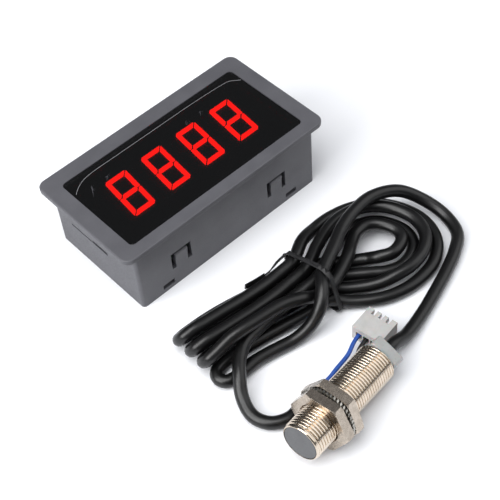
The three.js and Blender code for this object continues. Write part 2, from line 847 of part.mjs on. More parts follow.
// A part of a curve between two distances along it
class Stretch extends THREE.Curve {
  constructor(curve, start, end) {
    super();
    this.curve = curve;
    this.start = start / curve.getLength();
    this.end = end / curve.getLength();
  }

  getPoint(t, target = new THREE.Vector3()) {
    return this.curve.getPointAt(Math.min(1, this.start + (this.end - this.start) * t), target);
  }
}

function through(points) {
  return new THREE.CatmullRomCurve3(points.map((point) => new THREE.Vector3(...point)), false, 'centripetal');
}

function roundSection(radius, sides) {
  const points = [];
  for (let side = 0; side < sides; side += 1) {
    const angle = side / sides * Math.PI * 2;
    points.push(new THREE.Vector2(radius * Math.cos(angle), radius * Math.sin(angle)));
  }
  return new THREE.Shape(points);
}

function tube(curve, diameter, sides, step) {
  const steps = Math.ceil(curve.getLength() / step);
  const options = { steps, extrudePath: curve, bevelEnabled: false };
  return toSolid(facingOut(weld(new THREE.ExtrudeGeometry(roundSection(diameter / 2, sides), options))));
}

// The hank: one unbroken tube with a ring at every route point, carried along without twist
function hankTube() {
  const places = [hankStart, hankStart + cableDiameter];
  for (let i = 7; i < cablePoints.length - 4; i += 1) places.push(reach(i));
  places.push(hankEnd - cableDiameter, hankEnd);
  const ordered = places.filter((place, i) => i === 0 || place > places[i - 1] + cableDiameter / 4);
  const positions = [];
  const frame = { tangent: cableCurve.getTangentAt(ordered[0] / cableLength), across: new THREE.Vector3(0, 0, 1) };
  for (const place of ordered) {
    const centre = cableCurve.getPointAt(place / cableLength);
    const tangent = cableCurve.getTangentAt(place / cableLength);
    const turn = new THREE.Quaternion().setFromUnitVectors(frame.tangent, tangent);
    frame.across.applyQuaternion(turn);
    frame.across.addScaledVector(tangent, -frame.across.dot(tangent)).normalize();
    frame.tangent = tangent;
    const other = new THREE.Vector3().crossVectors(tangent, frame.across);
    for (let side = 0; side < coilSides; side += 1) {
      const angle = side / coilSides * Math.PI * 2;
      const point = centre.clone()
        .addScaledVector(frame.across, Math.cos(angle) * cableDiameter / 2)
        .addScaledVector(other, Math.sin(angle) * cableDiameter / 2);
      positions.push(point.x, point.y, point.z);
    }
  }
  return toSolid(facingOut(ringMesh(positions, ordered.length, coilSides)));
}

function ringMesh(positions, rings, sides) {
  const index = [];
  for (let ring = 0; ring + 1 < rings; ring += 1) {
    for (let side = 0; side < sides; side += 1) {
      const a = ring * sides + side;
      const b = ring * sides + (side + 1) % sides;
      index.push(a, b, b + sides, a, b + sides, a + sides);
    }
  }
  const last = (rings - 1) * sides;
  for (let side = 1; side + 1 < sides; side += 1) {
    index.push(0, side + 1, side, last, last + side, last + side + 1);
  }
  const geometry = new THREE.BufferGeometry();
  geometry.setAttribute('position', new THREE.Float32BufferAttribute(positions, 3));
  geometry.setIndex(index);
  return geometry;
}

// Least gap between strands of the hank, measured between points along its middle
function leastSelfGap() {
  const count = Math.round(hankEnd - hankStart);
  const points = new Stretch(cableCurve, hankStart, hankEnd).getPoints(count);
  const apart = Math.ceil(cableDiameter * 3);
  let least = Infinity;
  for (let i = 0; i < points.length; i += 1) {
    for (let j = i + apart; j < points.length; j += 1) {
      least = Math.min(least, points[i].distanceTo(points[j]));
    }
  }
  return least - cableDiameter;
}

// Clear sleeve over the end of the jacket, and the wires from it to the plug, by colour
const sleevePoints = [[-26.3, -77.9, 2.1], [-24.2, -77.6, 2.2], [-21.4, -77.5, 2.2], [-18, -78, 1.9]];
const wireRoutes = {
  blue: [
    [-17.7, -77.3, 2.4], [-15.4, -77.3, 2.7], [-12.4, -76.8, 3], [-6.3, -75.7, 3],
    [-2.8, -74.2, 2.9], [-0.44, -73.44, 2.9], [1.54, -73.16, 2.9],
  ],
  black: [
    [-17.7, -77.9, 0.9], [-14, -77.4, 0.75], [-10, -77.1, 0.9], [-5, -77.4, 1.6],
    [-2.5, -76.5, 2.6], [-0.09, -75.94, 2.9], [1.89, -75.66, 2.9],
  ],
  brown: [
    [-17.7, -79, 1.9], [-15, -78.9, 1.1], [-9, -78.8, 0.75], [-5, -79.2, 0.9],
    [-2.4, -78.9, 2.3], [0.26, -78.42, 2.9], [2.24, -78.14, 2.9],
  ],
};
const wireFinish = { blue: 0x1d5fd0, black: 0x121212, brown: 0x4a2a18 };

// Plug housing: three channels and the notches of its mating edge, its wire end at X 0
function plugHousing() {
  const body = block(plugLength / 2, 0, 0, plugLength, plugWidth, plugHeight);
  const channels = [];
  const notches = [];
  for (let way = -1; way <= 1; way += 1) {
    const y = way * pinPitch;
    const channelZ = (plugHeight - plugChannel) / 2;
    channels.push(block(plugLength / 2, y, channelZ, plugLength + 2 * overrun, plugChannel, plugChannel));
    notches.push(block(
      plugLength + (overrun - notchDepth) / 2, y, plugHeight / 2,
      notchDepth + overrun, notchWidth, plugHeight,
    ));
  }
  return cut(body, ...channels, ...notches);
}

function plugContact(way) {
  const length = plugLength - 2 * contactInset;
  return block(
    plugLength / 2, way * pinPitch, (plugHeight - contactSide) / 2,
    length, contactSide, contactSide,
  );
}

function plug() {
  const group = new THREE.Group();
  group.position.set(plugX, plugY, 0);
  group.rotation.z = radians(plugTurnDegrees);
  addPiece(group, 'plug_housing', plugHousing(), plugWhite());
  for (let way = -1; way <= 1; way += 1) {
    addPiece(group, `plug_contact_${way + 2}`, plugContact(way), tinned());
  }
  return group;
}

// Twist tie: a band round the strands that pass through its plane, with a twisted end
function tiedSection() {
  const strands = new Stretch(cableCurve, hankStart, hankEnd);
  const count = Math.round(hankEnd - hankStart) * 4;
  const section = [];
  for (let i = 0; i < count; i += 1) {
    const centre = strands.getPoint(i / count);
    if (Math.abs(centre.x - tiePlane) > cableDiameter) continue;
    const along = strands.getTangent(i / count);
    const across = new THREE.Vector3(0, 0, 1).cross(along).normalize();
    const other = new THREE.Vector3().crossVectors(along, across);
    for (let side = 0; side < tieSides; side += 1) {
      const angle = side / tieSides * Math.PI * 2;
      const point = centre.clone()
        .addScaledVector(across, Math.cos(angle) * cableDiameter / 2)
        .addScaledVector(other, Math.sin(angle) * cableDiameter / 2);
      if (Math.abs(point.x - tiePlane) < tieWidth / 2) section.push([point.y, point.z]);
    }
  }
  return section;
}

function hull(points) {
  const sorted = [...points].sort((a, b) => a[0] - b[0] || a[1] - b[1]);
  const turn = (o, a, b) => (a[0] - o[0]) * (b[1] - o[1]) - (a[1] - o[1]) * (b[0] - o[0]);
  const half = (list) => {
    const chain = [];
    for (const point of list) {
      while (chain.length > 1 && turn(chain[chain.length - 2], chain[chain.length - 1], point) <= 0) chain.pop();
      chain.push(point);
    }
    return chain.slice(0, -1);
  };
  return [...half(sorted), ...half(sorted.reverse())];
}

function bandOutline(centres, radius, Kind) {
  const outline = new Kind();
  centres.forEach((centre, i) => {
    const before = centres[(i + centres.length - 1) % centres.length];
    const after = centres[(i + 1) % centres.length];
    const start = Math.atan2(centre[1] - before[1], centre[0] - before[0]) - Math.PI / 2;
    let end = Math.atan2(after[1] - centre[1], after[0] - centre[0]) - Math.PI / 2;
    if (end < start) end += Math.PI * 2;
    outline.absarc(centre[0], centre[1], radius, start, end);
  });
  return outline;
}

// Corners of the hull that stand at least one step apart
function thinned(corners) {
  const kept = [];
  for (const corner of corners) {
    const last = kept[kept.length - 1];
    if (!last || Math.hypot(corner[0] - last[0], corner[1] - last[1]) > tieStep) kept.push(corner);
  }
  return kept;
}

function twistTie() {
  const centres = thinned(hull(tiedSection()));
  const inner = tieSlack;
  const outline = bandOutline(centres, inner + tieThickness, THREE.Shape);
  outline.holes.push(bandOutline(centres, inner, THREE.Path));
  const band = new THREE.ExtrudeGeometry(outline, { depth: tieWidth, bevelEnabled: false, curveSegments: 3 });
  band.translate(0, 0, -tieWidth / 2);
  band.applyMatrix4(new THREE.Matrix4().makeBasis(
    new THREE.Vector3(0, 1, 0), new THREE.Vector3(0, 0, 1), new THREE.Vector3(1, 0, 0),
  ));
  band.translate(tiePlane, 0, 0);
  const back = Math.max(...centres.map((centre) => centre[0])) + inner + tieThickness / 2;
  const rise = centres.find((centre) => centre[0] + inner + tieThickness / 2 === back)[1];
  const endCurve = new THREE.CatmullRomCurve3([
    new THREE.Vector3(tiePlane, back, rise),
    new THREE.Vector3(tiePlane - tieFlat, back + tieThickness, rise),
    new THREE.Vector3(tiePlane - 3 * tieFlat, back + tieWidth / 2, rise - tieWidth),
    new THREE.Vector3(tiePlane - 4 * tieFlat, back + tieWidth / 2, rise - tieWidth),
    new THREE.Vector3(tiePlane - 5 * tieFlat, back + tieWidth, rise - tieWidth),
  ]);
  const twisted = tube(endCurve, tieWidth, 6, tieFlat / 2);
  return join(toSolid(facingOut(weld(band))), twisted);
}

function cableSet() {
  const group = new THREE.Group();
  const lead = new Stretch(cableCurve, 0, hankStart - fitGap);
  const tail = new Stretch(cableCurve, hankEnd + fitGap, cableLength);
  addPiece(group, 'sensor_cable', tube(lead, cableDiameter, cableSides, cableStep), cableBlack());
  addPiece(group, 'cable_hank', hankTube(), cableBlack());
  addPiece(group, 'cable_end', tube(tail, cableDiameter, cableSides, cableStep), cableBlack());
  addPiece(group, 'wire_sleeve', tube(through(sleevePoints), sleeveDiameter, sleeveSides, sleeveStep), capWhite());
  for (const [colour, points] of Object.entries(wireRoutes)) {
    const curve = through(points);
    addPiece(group, `wire_${colour}`, tube(curve, wireDiameter, wireSides, wireStep), finish(wireFinish[colour], 0.4));
  }
  addPiece(group, 'twist_tie', twistTie(), darkPlastic());
  group.add(plug());
  return group;
}

const tachometer = new THREE.Group();
tachometer.add(displayUnit(), sensor(), cableSet());

console.log(`least gap between strands of the hank ${leastSelfGap().toFixed(2)} mm`);
console.log(`cable length ${cableLength.toFixed(1)} mm`);

export default tachometer;
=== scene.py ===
# Panel tachometer: the display unit, its threaded pickup sensor and the tied cable between
# the sensor and a three way plug. Sizes are in millimetres and MM turns them to metres.
from math import cos, pi, radians, sin, sqrt, tan

import bmesh
import bpy
from mathutils import Matrix, Vector


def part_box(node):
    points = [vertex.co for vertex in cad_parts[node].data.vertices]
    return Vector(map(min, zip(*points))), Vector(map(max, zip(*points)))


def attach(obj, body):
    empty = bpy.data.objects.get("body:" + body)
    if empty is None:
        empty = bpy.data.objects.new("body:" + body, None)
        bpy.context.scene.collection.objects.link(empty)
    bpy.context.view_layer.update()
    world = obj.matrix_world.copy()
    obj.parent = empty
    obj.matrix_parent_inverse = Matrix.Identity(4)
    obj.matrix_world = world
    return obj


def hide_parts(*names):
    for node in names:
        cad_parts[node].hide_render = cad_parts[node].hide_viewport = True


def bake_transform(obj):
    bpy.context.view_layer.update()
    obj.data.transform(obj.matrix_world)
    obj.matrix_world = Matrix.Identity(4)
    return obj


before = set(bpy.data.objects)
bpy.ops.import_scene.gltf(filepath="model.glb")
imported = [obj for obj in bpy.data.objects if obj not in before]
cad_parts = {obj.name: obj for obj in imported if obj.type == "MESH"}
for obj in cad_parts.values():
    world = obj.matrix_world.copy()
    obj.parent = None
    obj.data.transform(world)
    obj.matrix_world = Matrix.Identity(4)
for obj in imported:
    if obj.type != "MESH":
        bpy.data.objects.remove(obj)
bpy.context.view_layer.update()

MM = 0.001
scene = bpy.context.scene

# ---------------------------------------------------------------- Camera
# A long lens looks down on the set from the front and the left, tipped a few degrees.
CAMERA_TARGET = Vector((1.586, -26.136, 0)) * MM
CAMERA_DISTANCE = 372.194 * MM
CAMERA_AZIMUTH = -0.679636
CAMERA_ELEVATION = 0.896778
CAMERA_ROLL = -0.0921682
CAMERA_LENS, CAMERA_SENSOR = 86.88, 36
CAMERA_CLIP = 10 * MM


def camera_pose():
    back = Vector((
        sin(CAMERA_AZIMUTH) * cos(CAMERA_ELEVATION),
        -cos(CAMERA_AZIMUTH) * cos(CAMERA_ELEVATION),
        sin(CAMERA_ELEVATION),
    ))
    level = Vector((0, 0, 1)).cross(back).normalized()
    rise = back.cross(level)
    right = cos(CAMERA_ROLL) * level + sin(CAMERA_ROLL) * rise
    up = cos(CAMERA_ROLL) * rise - sin(CAMERA_ROLL) * level
    pose = Matrix((right, up, back)).transposed().to_4x4()
    pose.translation = CAMERA_TARGET + back * CAMERA_DISTANCE
    return pose


camera = bpy.data.objects.new("camera", bpy.data.cameras.new("camera"))
scene.collection.objects.link(camera)
camera.matrix_world = camera_pose()
camera.data.lens = CAMERA_LENS
camera.data.sensor_width = CAMERA_SENSOR
camera.data.clip_start = CAMERA_CLIP
scene.camera = camera

# ---------------------------------------------------------------- Sensor cable
# One length of round cable with a black PVC jacket, 4 mm thick, from the sensor's cap to
# the stripped wires. It is wound into four loops, folded over and tied.
CABLE_RADIUS = 2.0
CAP_END = Vector((-0.02, -84.14, 6.27))
SENSOR_ALONG = Vector((0.984288, 0.138333, -0.109734))
CABLE_INSIDE = 1.5
STRAND_STEPS = 12
ROOT = "tachometer"

LEAD = [
    (0.27, -84.09, 6.23), (3.92, -83.58, 5.83), (9.9, -83, 3.4), (19.6, -80.6, 2.1),
    (29.5, -77.6, 2.1), (37, -75, 2.1), (43.5, -72.2, 2.1), (49.4, -68.1, 2.1),
    (52, -60.6, 2.6), (50.3, -52.8, 5), (45.3, -47.2, 8.6), (36.6, -44.1, 10.6),
    (27.5, -44.7, 11), (20, -47.1, 11.4), (12.5, -51, 12), (4, -55.2, 12.2),
]
LOW_LOOP = [
    (0.4, -58.9, 12.3), (-3.2, -61.7, 10.1), (-7.4, -62.2, 5.6), (-12.5, -61.1, 2.5),
    (-19, -59.5, 2.1), (-25.5, -58.2, 2.1), (-31, -58.2, 2.1), (-34.6, -58, 2.1),
    (-36.58, -57.18, 2.1), (-37.4, -55.2, 2.1), (-36.58, -53.22, 2.1), (-34.6, -52.4, 2.1),
    (-29, -52.3, 2.1), (-21, -53.4, 2.1), (-12, -55.2, 2.1), (-4, -57, 2.3),
]
FIRST_LOOP = [
    (3.2, -58.2, 3.1), (8, -63, 2.2), (15, -68.4, 2.2), (21.5, -71, 2.2),
    (28.5, -71.7, 2.2), (36.5, -70.2, 2.2), (43, -65.3, 2.2), (46, -57.5, 2.2),
    (44.8, -49.3, 2.2), (40.6, -42.3, 2.2), (34.2, -38, 2.2), (26.5, -36.2, 2.78),
    (19, -36.8, 4.12), (11.4, -39.2, 7), (3.6, -43.2, 7.8), (-5, -43.3, 7.2),
    (-15, -42.9, 7.5), (-25.5, -41.8, 8), (-34, -40.9, 8.2), (-36.55, -40.31, 7.32),
    (-37.6, -38.9, 5.2), (-36.55, -37.49, 3.08), (-34, -36.9, 2.2), (-25, -37.5, 2.2),
    (-14, -39.45, 2.2), (-4.5, -41.85, 2.2),
]
INNER_LOOP = [
    (6.8, -44.4, 3.1), (17.71, -51.77, 2.2), (22.46, -55.81, 3.05), (24.52, -58.64, 4.75),
    (27.93, -60.92, 5.6), (32.14, -60.33, 5.6), (34.36, -58.84, 5.6), (35.27, -56.29, 5.6),
    (34.63, -52.91, 5.6), (32.73, -49.68, 5.6), (29.91, -47.91, 5.6), (25.57, -47.99, 5.77),
    (21.64, -50.07, 6.16), (17.1, -52.91, 7), (5.4, -57.45, 7.8), (-0.5, -57.3, 8),
    (-5.5, -56.1, 10.3), (-11, -54.4, 11.3), (-18, -53.4, 11.5), (-25.5, -52.6, 11.5),
    (-29.5, -52, 10.8), (-33.8, -51.6, 9), (-36.7, -51, 7.4), (-37.6, -49.5, 5.2),
    (-36.55, -48.09, 3.08), (-34, -47.5, 2.2), (-25, -47.99, 2.2), (-14, -49.57, 2.2),
    (-4.5, -51.53, 2.2),
]
SECOND_LOOP = [
    (4.4, -53.6, 3.1), (11.24, -59.26, 2.2), (17.49, -64.2, 3.05), (22.51, -66.88, 4.75),
    (28.31, -68.11, 5.6), (35.05, -66.91, 5.6), (40.12, -63.15, 5.6), (42.42, -57.1, 5.6),
    (41.41, -50.5, 5.6), (37.98, -44.76, 5.6), (32.77, -41.3, 5.6), (26.19, -40.13, 5.77),
    (19.88, -41.22, 6.16), (13.3, -43.77, 7), (4.2, -47.95, 7.8), (-5, -48, 7.2),
    (-15, -47.9, 7.5), (-25.5, -47.1, 8), (-34, -46.2, 8.2), (-36.55, -45.61, 7.32),
    (-37.6, -44.2, 5.2), (-36.55, -42.79, 3.08), (-34, -42.2, 2.2), (-25, -42.74, 2.2),
    (-14, -44.51, 2.2), (-4.5, -46.69, 2.2),
]
THIRD_LOOP = [
    (5.6, -49, 3.1), (14.47, -55.51, 2.2), (19.97, -60.01, 2.2), (23.51, -62.76, 2.2),
    (28.12, -64.52, 2.2), (33.59, -63.62, 2.2), (37.24, -60.99, 2.2), (38.85, -56.7, 2.2),
    (38.02, -51.71, 2.2), (35.35, -47.22, 2.2), (31.34, -44.6, 2.2), (25.88, -44.06, 2.78),
    (20.76, -45.65, 4.12), (15.2, -48.34, 7), (4.8, -52.7, 7.8),
]
TAIL = [
    (-5, -52.5, 6.9), (-14, -52.7, 6.8), (-20.5, -53, 6.8), (-25.5, -53.8, 6.8),
    (-30.2, -56.6, 6.8), (-34.2, -60.6, 6.2), (-37.6, -65.4, 3.4), (-38.9, -71, 2.1),
    (-36.9, -75.9, 2.1), (-32.2, -78.4, 2.1), (-26.6, -77.9, 2.1),
]
CABLE_ROUTE = [
    tuple(CAP_END - SENSOR_ALONG * CABLE_INSIDE),
    *LEAD, *LOW_LOOP, *FIRST_LOOP, *INNER_LOOP, *SECOND_LOOP, *THIRD_LOOP, *TAIL,
]


def smooth_line(points):
    """Points with the two handles that make an even curve through them."""
    points = [Vector(point) for point in points]
    ends = [2 * points[0] - points[1], *points, 2 * points[-1] - points[-2]]
    line = []
    for before, here, after in zip(ends, ends[1:], ends[2:]):
        back, ahead = sqrt((here - before).length), sqrt((after - here).length)
        slope = (here - before) / back - (after - before) / (back + ahead) + (after - here) / ahead
        line.append((here, here - slope * back / 3, here + slope * ahead / 3))
    return line


def point_between(leg, t):
    """The point at share t of one leg of a smooth line."""
    (start, _, leave), (end, arrive, _) = leg
    return (
        (1 - t) ** 3 * start + 3 * (1 - t) ** 2 * t * leave
        + 3 * (1 - t) * t * t * arrive + t ** 3 * end
    )


def strand(name, points, radius, material, slot, *nodes, roundness=4):
    """A round strand along a smooth line: one open spline, riding on the fixed body."""
    curve = bpy.data.curves.new(name, "CURVE")
    curve.dimensions = "3D"
    curve.resolution_u = STRAND_STEPS
    curve.bevel_depth = radius * MM
    curve.bevel_resolution = roundness
    curve.use_fill_caps = True
    spline = curve.splines.new("BEZIER")
    line = smooth_line(points)
    spline.bezier_points.add(len(line) - 1)
    for point, (here, back, ahead) in zip(spline.bezier_points, line):
        point.co, point.handle_left, point.handle_right = here * MM, back * MM, ahead * MM
    curve.materials.append(material)
    piece = bpy.data.objects.new(name, curve)
    scene.collection.objects.link(piece)
    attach(piece, ROOT)
    if nodes:
        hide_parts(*nodes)
    return piece


def linear(hex_colour):
    """A linear colour from sRGB hex digits."""
    channels = [int(hex_colour[i:i + 2], 16) / 255 for i in (1, 3, 5)]
    return (*(c / 12.92 if c <= 0.04045 else ((c + 0.055) / 1.055) ** 2.4 for c in channels), 1.0)


def add_node(tree, kind, settings=None, links=None):
    """A node with its settings, by property or input, and the sockets that feed it."""
    node = tree.nodes.new(kind)
    for key, value in (settings or {}).items():
        if isinstance(key, str) and hasattr(node, key):
            setattr(node, key, value)
        else:
            node.inputs[key].default_value = value
    for key, socket in (links or {}).items():
        tree.links.new(socket, node.inputs[key])
    return node


def patterned(name, dark, light, patch, grain, relief, smooth, rough, stretch=(1, 1, 1), **sockets):
    """A finish whose colour drifts over patches, with a finer grain in its sheen and relief.

    patch, grain and relief are real sizes in millimetres.
    """
    material = bpy.data.materials.new(name)
    material.use_nodes = True
    tree = material.node_tree
    shader = tree.nodes["Principled BSDF"]
    place = add_node(tree, "ShaderNodeTexCoord").outputs["Object"]
    drawn = add_node(tree, "ShaderNodeMapping", {"Scale": stretch}, {"Vector": place})
    patches, grains = (
        add_node(
            tree, "ShaderNodeTexNoise", {"Scale": 1 / (size * MM), "Detail": detail},
            {"Vector": drawn.outputs["Vector"]},
        )
        for size, detail in ((patch, 4), (grain, 2))
    )
    spread = {"From Min": 0.3, "From Max": 0.7}
    drift = add_node(tree, "ShaderNodeMapRange", spread, {"Value": patches.outputs["Fac"]})
    speck = add_node(
        tree, "ShaderNodeMapRange", {**spread, "To Min": smooth, "To Max": rough},
        {"Value": grains.outputs["Fac"]},
    )
    colour = add_node(
        tree, "ShaderNodeMix", {"data_type": "RGBA", 6: linear(dark), 7: linear(light)},
        {0: drift.outputs["Result"]},
    )
    bump = add_node(
        tree, "ShaderNodeBump", {"Strength": 1.0, "Distance": relief * MM},
        {"Height": grains.outputs["Fac"]},
    )
    tree.links.new(colour.outputs[2], shader.inputs["Base Color"])
    tree.links.new(speck.outputs["Result"], shader.inputs["Roughness"])
    tree.links.new(bump.outputs["Normal"], shader.inputs["Normal"])
    for key, value in sockets.items():
        shader.inputs[key.replace("_", " ")].default_value = value
    return material


# Extruded PVC jacket: black with a soft sheen. Its die lines are drawn as a 0.5 mm grain,
# coarser than the real ones, so that they show.
jacket_pvc = patterned("jacket_pvc", "#060606", "#0b0b0c", 9, 0.5, 0.008, 0.3, 0.4, IOR=1.5)

cable = strand(
    "cable", CABLE_ROUTE, CABLE_RADIUS, jacket_pvc, "cable_jacket",
    "sensor_cable", "cable_hank", "cable_end", roundness=6,
)

# ---------------------------------------------------------------- Table and light
# A pale tabletop under a dim sky that brightens overhead, with large soft lamps on the left,
# above and on the right. The right one makes the bright band along the sensor.
TABLE_SIDE, TABLE_DROP = 4000, 0.02
SKY_LOW, SKY_HIGH = 0.03, 0.28
# Each lamp's place, the point that it looks at, its side and its watts
LAMPS = {
    "lamp_left": ((-760, 60, 560), (0, -40, 0), 620, 7.4),
    "lamp_above": ((-280, -60, 980), (0, -40, 0), 700, 7.2),
    "lamp_right": ((560, -430, 560), (-20, -86, 10), 900, 3.1),
}


def build_table():
    mesh = bpy.data.meshes.new("table")
    half = TABLE_SIDE / 2 * MM
    corners = [(-half, -half, 0), (half, -half, 0), (half, half, 0), (-half, half, 0)]
    mesh.from_pydata(corners, [], [(0, 1, 2, 3)])
    table = bpy.data.objects.new("table", mesh)
    table.location.z = -TABLE_DROP * MM
    scene.collection.objects.link(table)
    # Matt laminate: almost white, and even
    laminate = patterned("matt_laminate", "#f4f6fa", "#f8f9fc", 60, 2, 0.002, 0.6, 0.7, IOR=1.4)
    mesh.materials.append(laminate)


def build_sky():
    world = bpy.data.worlds.new("studio")
    world.use_nodes = True
    tree = world.node_tree
    place = add_node(tree, "ShaderNodeTexCoord").outputs["Generated"]
    height = add_node(tree, "ShaderNodeSeparateXYZ", {}, {"Vector": place}).outputs["Z"]
    shade = add_node(
        tree, "ShaderNodeMapRange",
        {"From Min": 0.0, "From Max": 1.0, "To Min": SKY_LOW, "To Max": SKY_HIGH},
        {"Value": height},
    )
    background = tree.nodes["Background"]
    background.inputs["Color"].default_value = linear("#f7f9ff")
    tree.links.new(shade.outputs["Result"], background.inputs["Strength"])
    scene.world = world


def softbox(name, place, aim, side, watts):
    """A square soft lamp at a place, turned towards another."""
    lamp = bpy.data.lights.new(name, "AREA")
    lamp.shape = "SQUARE"
    lamp.size = side * MM
    lamp.energy = watts
    box = bpy.data.objects.new(name, lamp)
    box.location = Vector(place) * MM
    box.rotation_euler = (Vector(aim) * MM - box.location).to_track_quat("-Z", "Y").to_euler()
    scene.collection.objects.link(box)


build_table()
build_sky()
for lamp_name, lamp_setting in LAMPS.items():
    softbox(lamp_name, *lamp_setting)
scene.view_settings.view_transform = "Standard"

# ---------------------------------------------------------------- Sleeve and wires
# The jacket ends in a short clear sleeve, and three PVC insulated wires run from it to the
# plug. They are drawn off a reel, so they keep a slight wave.
WIRE_RADIUS = 0.65
SLEEVE_RADIUS = 1.8
SLEEVE_ROUTE = [(-26.3, -77.9, 2.1), (-24.2, -77.6, 2.2), (-21.4, -77.5, 2.2), (-18, -78, 1.9)]
WIRES = {
    "blue": [
        (-19.4, -77.45, 2.3), (-17.7, -77.3, 2.4), (-15.4, -77.3, 2.7), (-12.4, -76.8, 3),
        (-6.3, -75.7, 3), (-2.8, -74.2, 2.9), (-0.44, -73.44, 2.9), (1.54, -73.16, 2.9),
        (3.2, -72.93, 2.9),
    ],
    "black": [
        (-19.4, -77.9, 1.3), (-17.7, -77.9, 0.9), (-14, -77.4, 0.75), (-10, -77.1, 0.9),
        (-5, -77.4, 1.6), (-2.5, -76.5, 2.6), (-0.09, -75.94, 2.9), (1.89, -75.66, 2.9),
        (3.55, -75.43, 2.9),
    ],
    "brown": [
        (-19.4, -78.6, 1.9), (-17.7, -79, 1.9), (-15, -78.9, 1.1), (-9, -78.8, 0.75),
        (-5, -79.2, 0.9), (-2.4, -78.9, 2.3), (0.26, -78.42, 2.9), (2.24, -78.14, 2.9),
        (3.9, -77.91, 2.9),
    ],
}
# PVC insulation: clean colour and a smooth gloss, with a fine grain
WIRE_COLOURS = {
    "blue": ("#1d4594", "#2653a6"),
    "black": ("#0c0c0d", "#171718"),
    "brown": ("#4a2614", "#5c3320"),
}

for shade, route in WIRES.items():
    insulation = patterned(
        f"{shade}_insulation", *WIRE_COLOURS[shade], 4, 0.4, 0.006, 0.26, 0.36, IOR=1.52,
    )
    strand(
        f"{shade}_lead", route, WIRE_RADIUS, insulation, f"{shade}_wire", f"wire_{shade}",
    )

# Clear PVC tubing: milky grey, glossy, and it lets some light through
clear_tubing = patterned(
    "clear_tubing", "#b9bcc0", "#cfd2d4", 3, 0.5, 0.003, 0.2, 0.3, IOR=1.5,
    Transmission_Weight=0.35, Subsurface_Weight=0.4, Subsurface_Scale=1.5 * MM,
)
sleeve = strand(
    "clear_sleeve", SLEEVE_ROUTE, SLEEVE_RADIUS, clear_tubing, "cap_plastic", "wire_sleeve",
    roundness=5,
)

# ---------------------------------------------------------------- Plug housing
# A white nylon housing with three ways, moulded in one shot, with crimped contacts pushed
# in from the wire end. Its mating edge is notched between the fingers.
PLUG_ROUNDING, CONTACT_ROUNDING = 0.22, 0.15
WELD, CAD_WELD = 0.0005, 0.001


def finished(name, build, sharp=35):
    """A mesh from a bmesh in metres: welded, faces out, smooth but for its sharp edges."""
    bmesh.ops.remove_doubles(build, verts=build.verts, dist=WELD * MM)
    bmesh.ops.recalc_face_normals(build, faces=build.faces)
    mesh = bpy.data.meshes.new(name)
    build.to_mesh(mesh)
    build.free()
    mesh.shade_smooth()
    mesh.set_sharp_from_angle(angle=radians(sharp))
    return mesh


def place_piece(name, mesh, material, body, slot, *nodes):
    """A finished mesh as a piece that rides on its body and stands for its CAD nodes."""
    piece = bpy.data.objects.new(name, mesh)
    scene.collection.objects.link(piece)
    if not mesh.materials:
        mesh.materials.append(material)
    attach(piece, body)
    if nodes:
        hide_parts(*nodes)
    return piece


def keep_flat(piece):
    """Large faces shade flat, and only the small ones beside them bend the light."""
    flat = piece.modifiers.new("flat_faces", "WEIGHTED_NORMAL")
    flat.keep_sharp = True
    flat.weight = 100
    return piece


def round_edges(piece, width, segments=2, angle=50):
    """The small radius that a mould or a tool leaves on every edge."""
    bevel = piece.modifiers.new("rounded_edges", "BEVEL")
    bevel.width = width * MM
    bevel.segments = segments
    bevel.limit_method = "ANGLE"
    bevel.angle_limit = radians(angle)
    bevel.harden_normals = True
    return keep_flat(piece)


def cast_from(node, name=None):
    """The solid of a CAD node as a clean mesh, with its flat faces whole."""
    build = bmesh.new()
    build.from_mesh(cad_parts[node].data)
    bmesh.ops.remove_doubles(build, verts=build.verts, dist=CAD_WELD * MM)
    bmesh.ops.dissolve_limit(build, angle_limit=radians(1), verts=build.verts, edges=build.edges)
    return finished(name or node, build)


# Moulded nylon: off white with a little depth, fine matt grain drawn at 0.4 mm
white_nylon = patterned(
    "white_nylon", "#aaa9a7", "#b9b8b6", 3, 0.4, 0.008, 0.38, 0.5, IOR=1.53,
    Subsurface_Weight=0.35, Subsurface_Scale=1.2 * MM,
)
# Tinned brass: a cool bright metal, cloudy in patches of 2 mm
tinned_brass = patterned(
    "tinned_brass", "#a9acb0", "#cfd1d3", 2, 0.3, 0.004, 0.2, 0.38, Metallic=1.0,
)

plug = round_edges(place_piece(
    "plug_shell", cast_from("plug_housing", "plug_shell"), white_nylon, ROOT,
    "plug_plastic", "plug_housing",
), PLUG_ROUNDING)
contacts = [
    round_edges(place_piece(
        f"contact_{way}", cast_from(f"plug_contact_{way}"), tinned_brass, ROOT,
        "tinned_metal", f"plug_contact_{way}",
    ), CONTACT_ROUNDING)
    for way in (1, 2, 3)
]

# ---------------------------------------------------------------- Twist tie
# A paper covered wire tie: one flat black band pulled round the middle of the hank, its two
# ends twisted together and laid along the loops.
TIE_TAIL = [(3.6, -39.7, 7.6), (0.5, -39.9, 7.5), (-3.0, -40.4, 6.9), (-6.0, -40.5, 6.3)]
TIE_TAIL_WIDTH, TIE_TAIL_TURNS = 0.8, 0.5
TIE_TAB = [(-5.4, -40.5, 6.2), (-8.6, -39.9, 6.2), (-12.0, -39.0, 6.1)]
TIE_TAB_WIDTH, TIE_TAB_TURNS, TIE_TAB_START = 3.5, 0.04, 0.25
TIE_THICKNESS = 0.45
TIE_BAND_EDGE = 3.29
RIBBON_SECTION = (
    (1, 0.4), (0.8, 1), (-0.8, 1), (-1, 0.4), (-1, -0.4), (-0.8, -1), (0.8, -1), (1, -0.4),
)


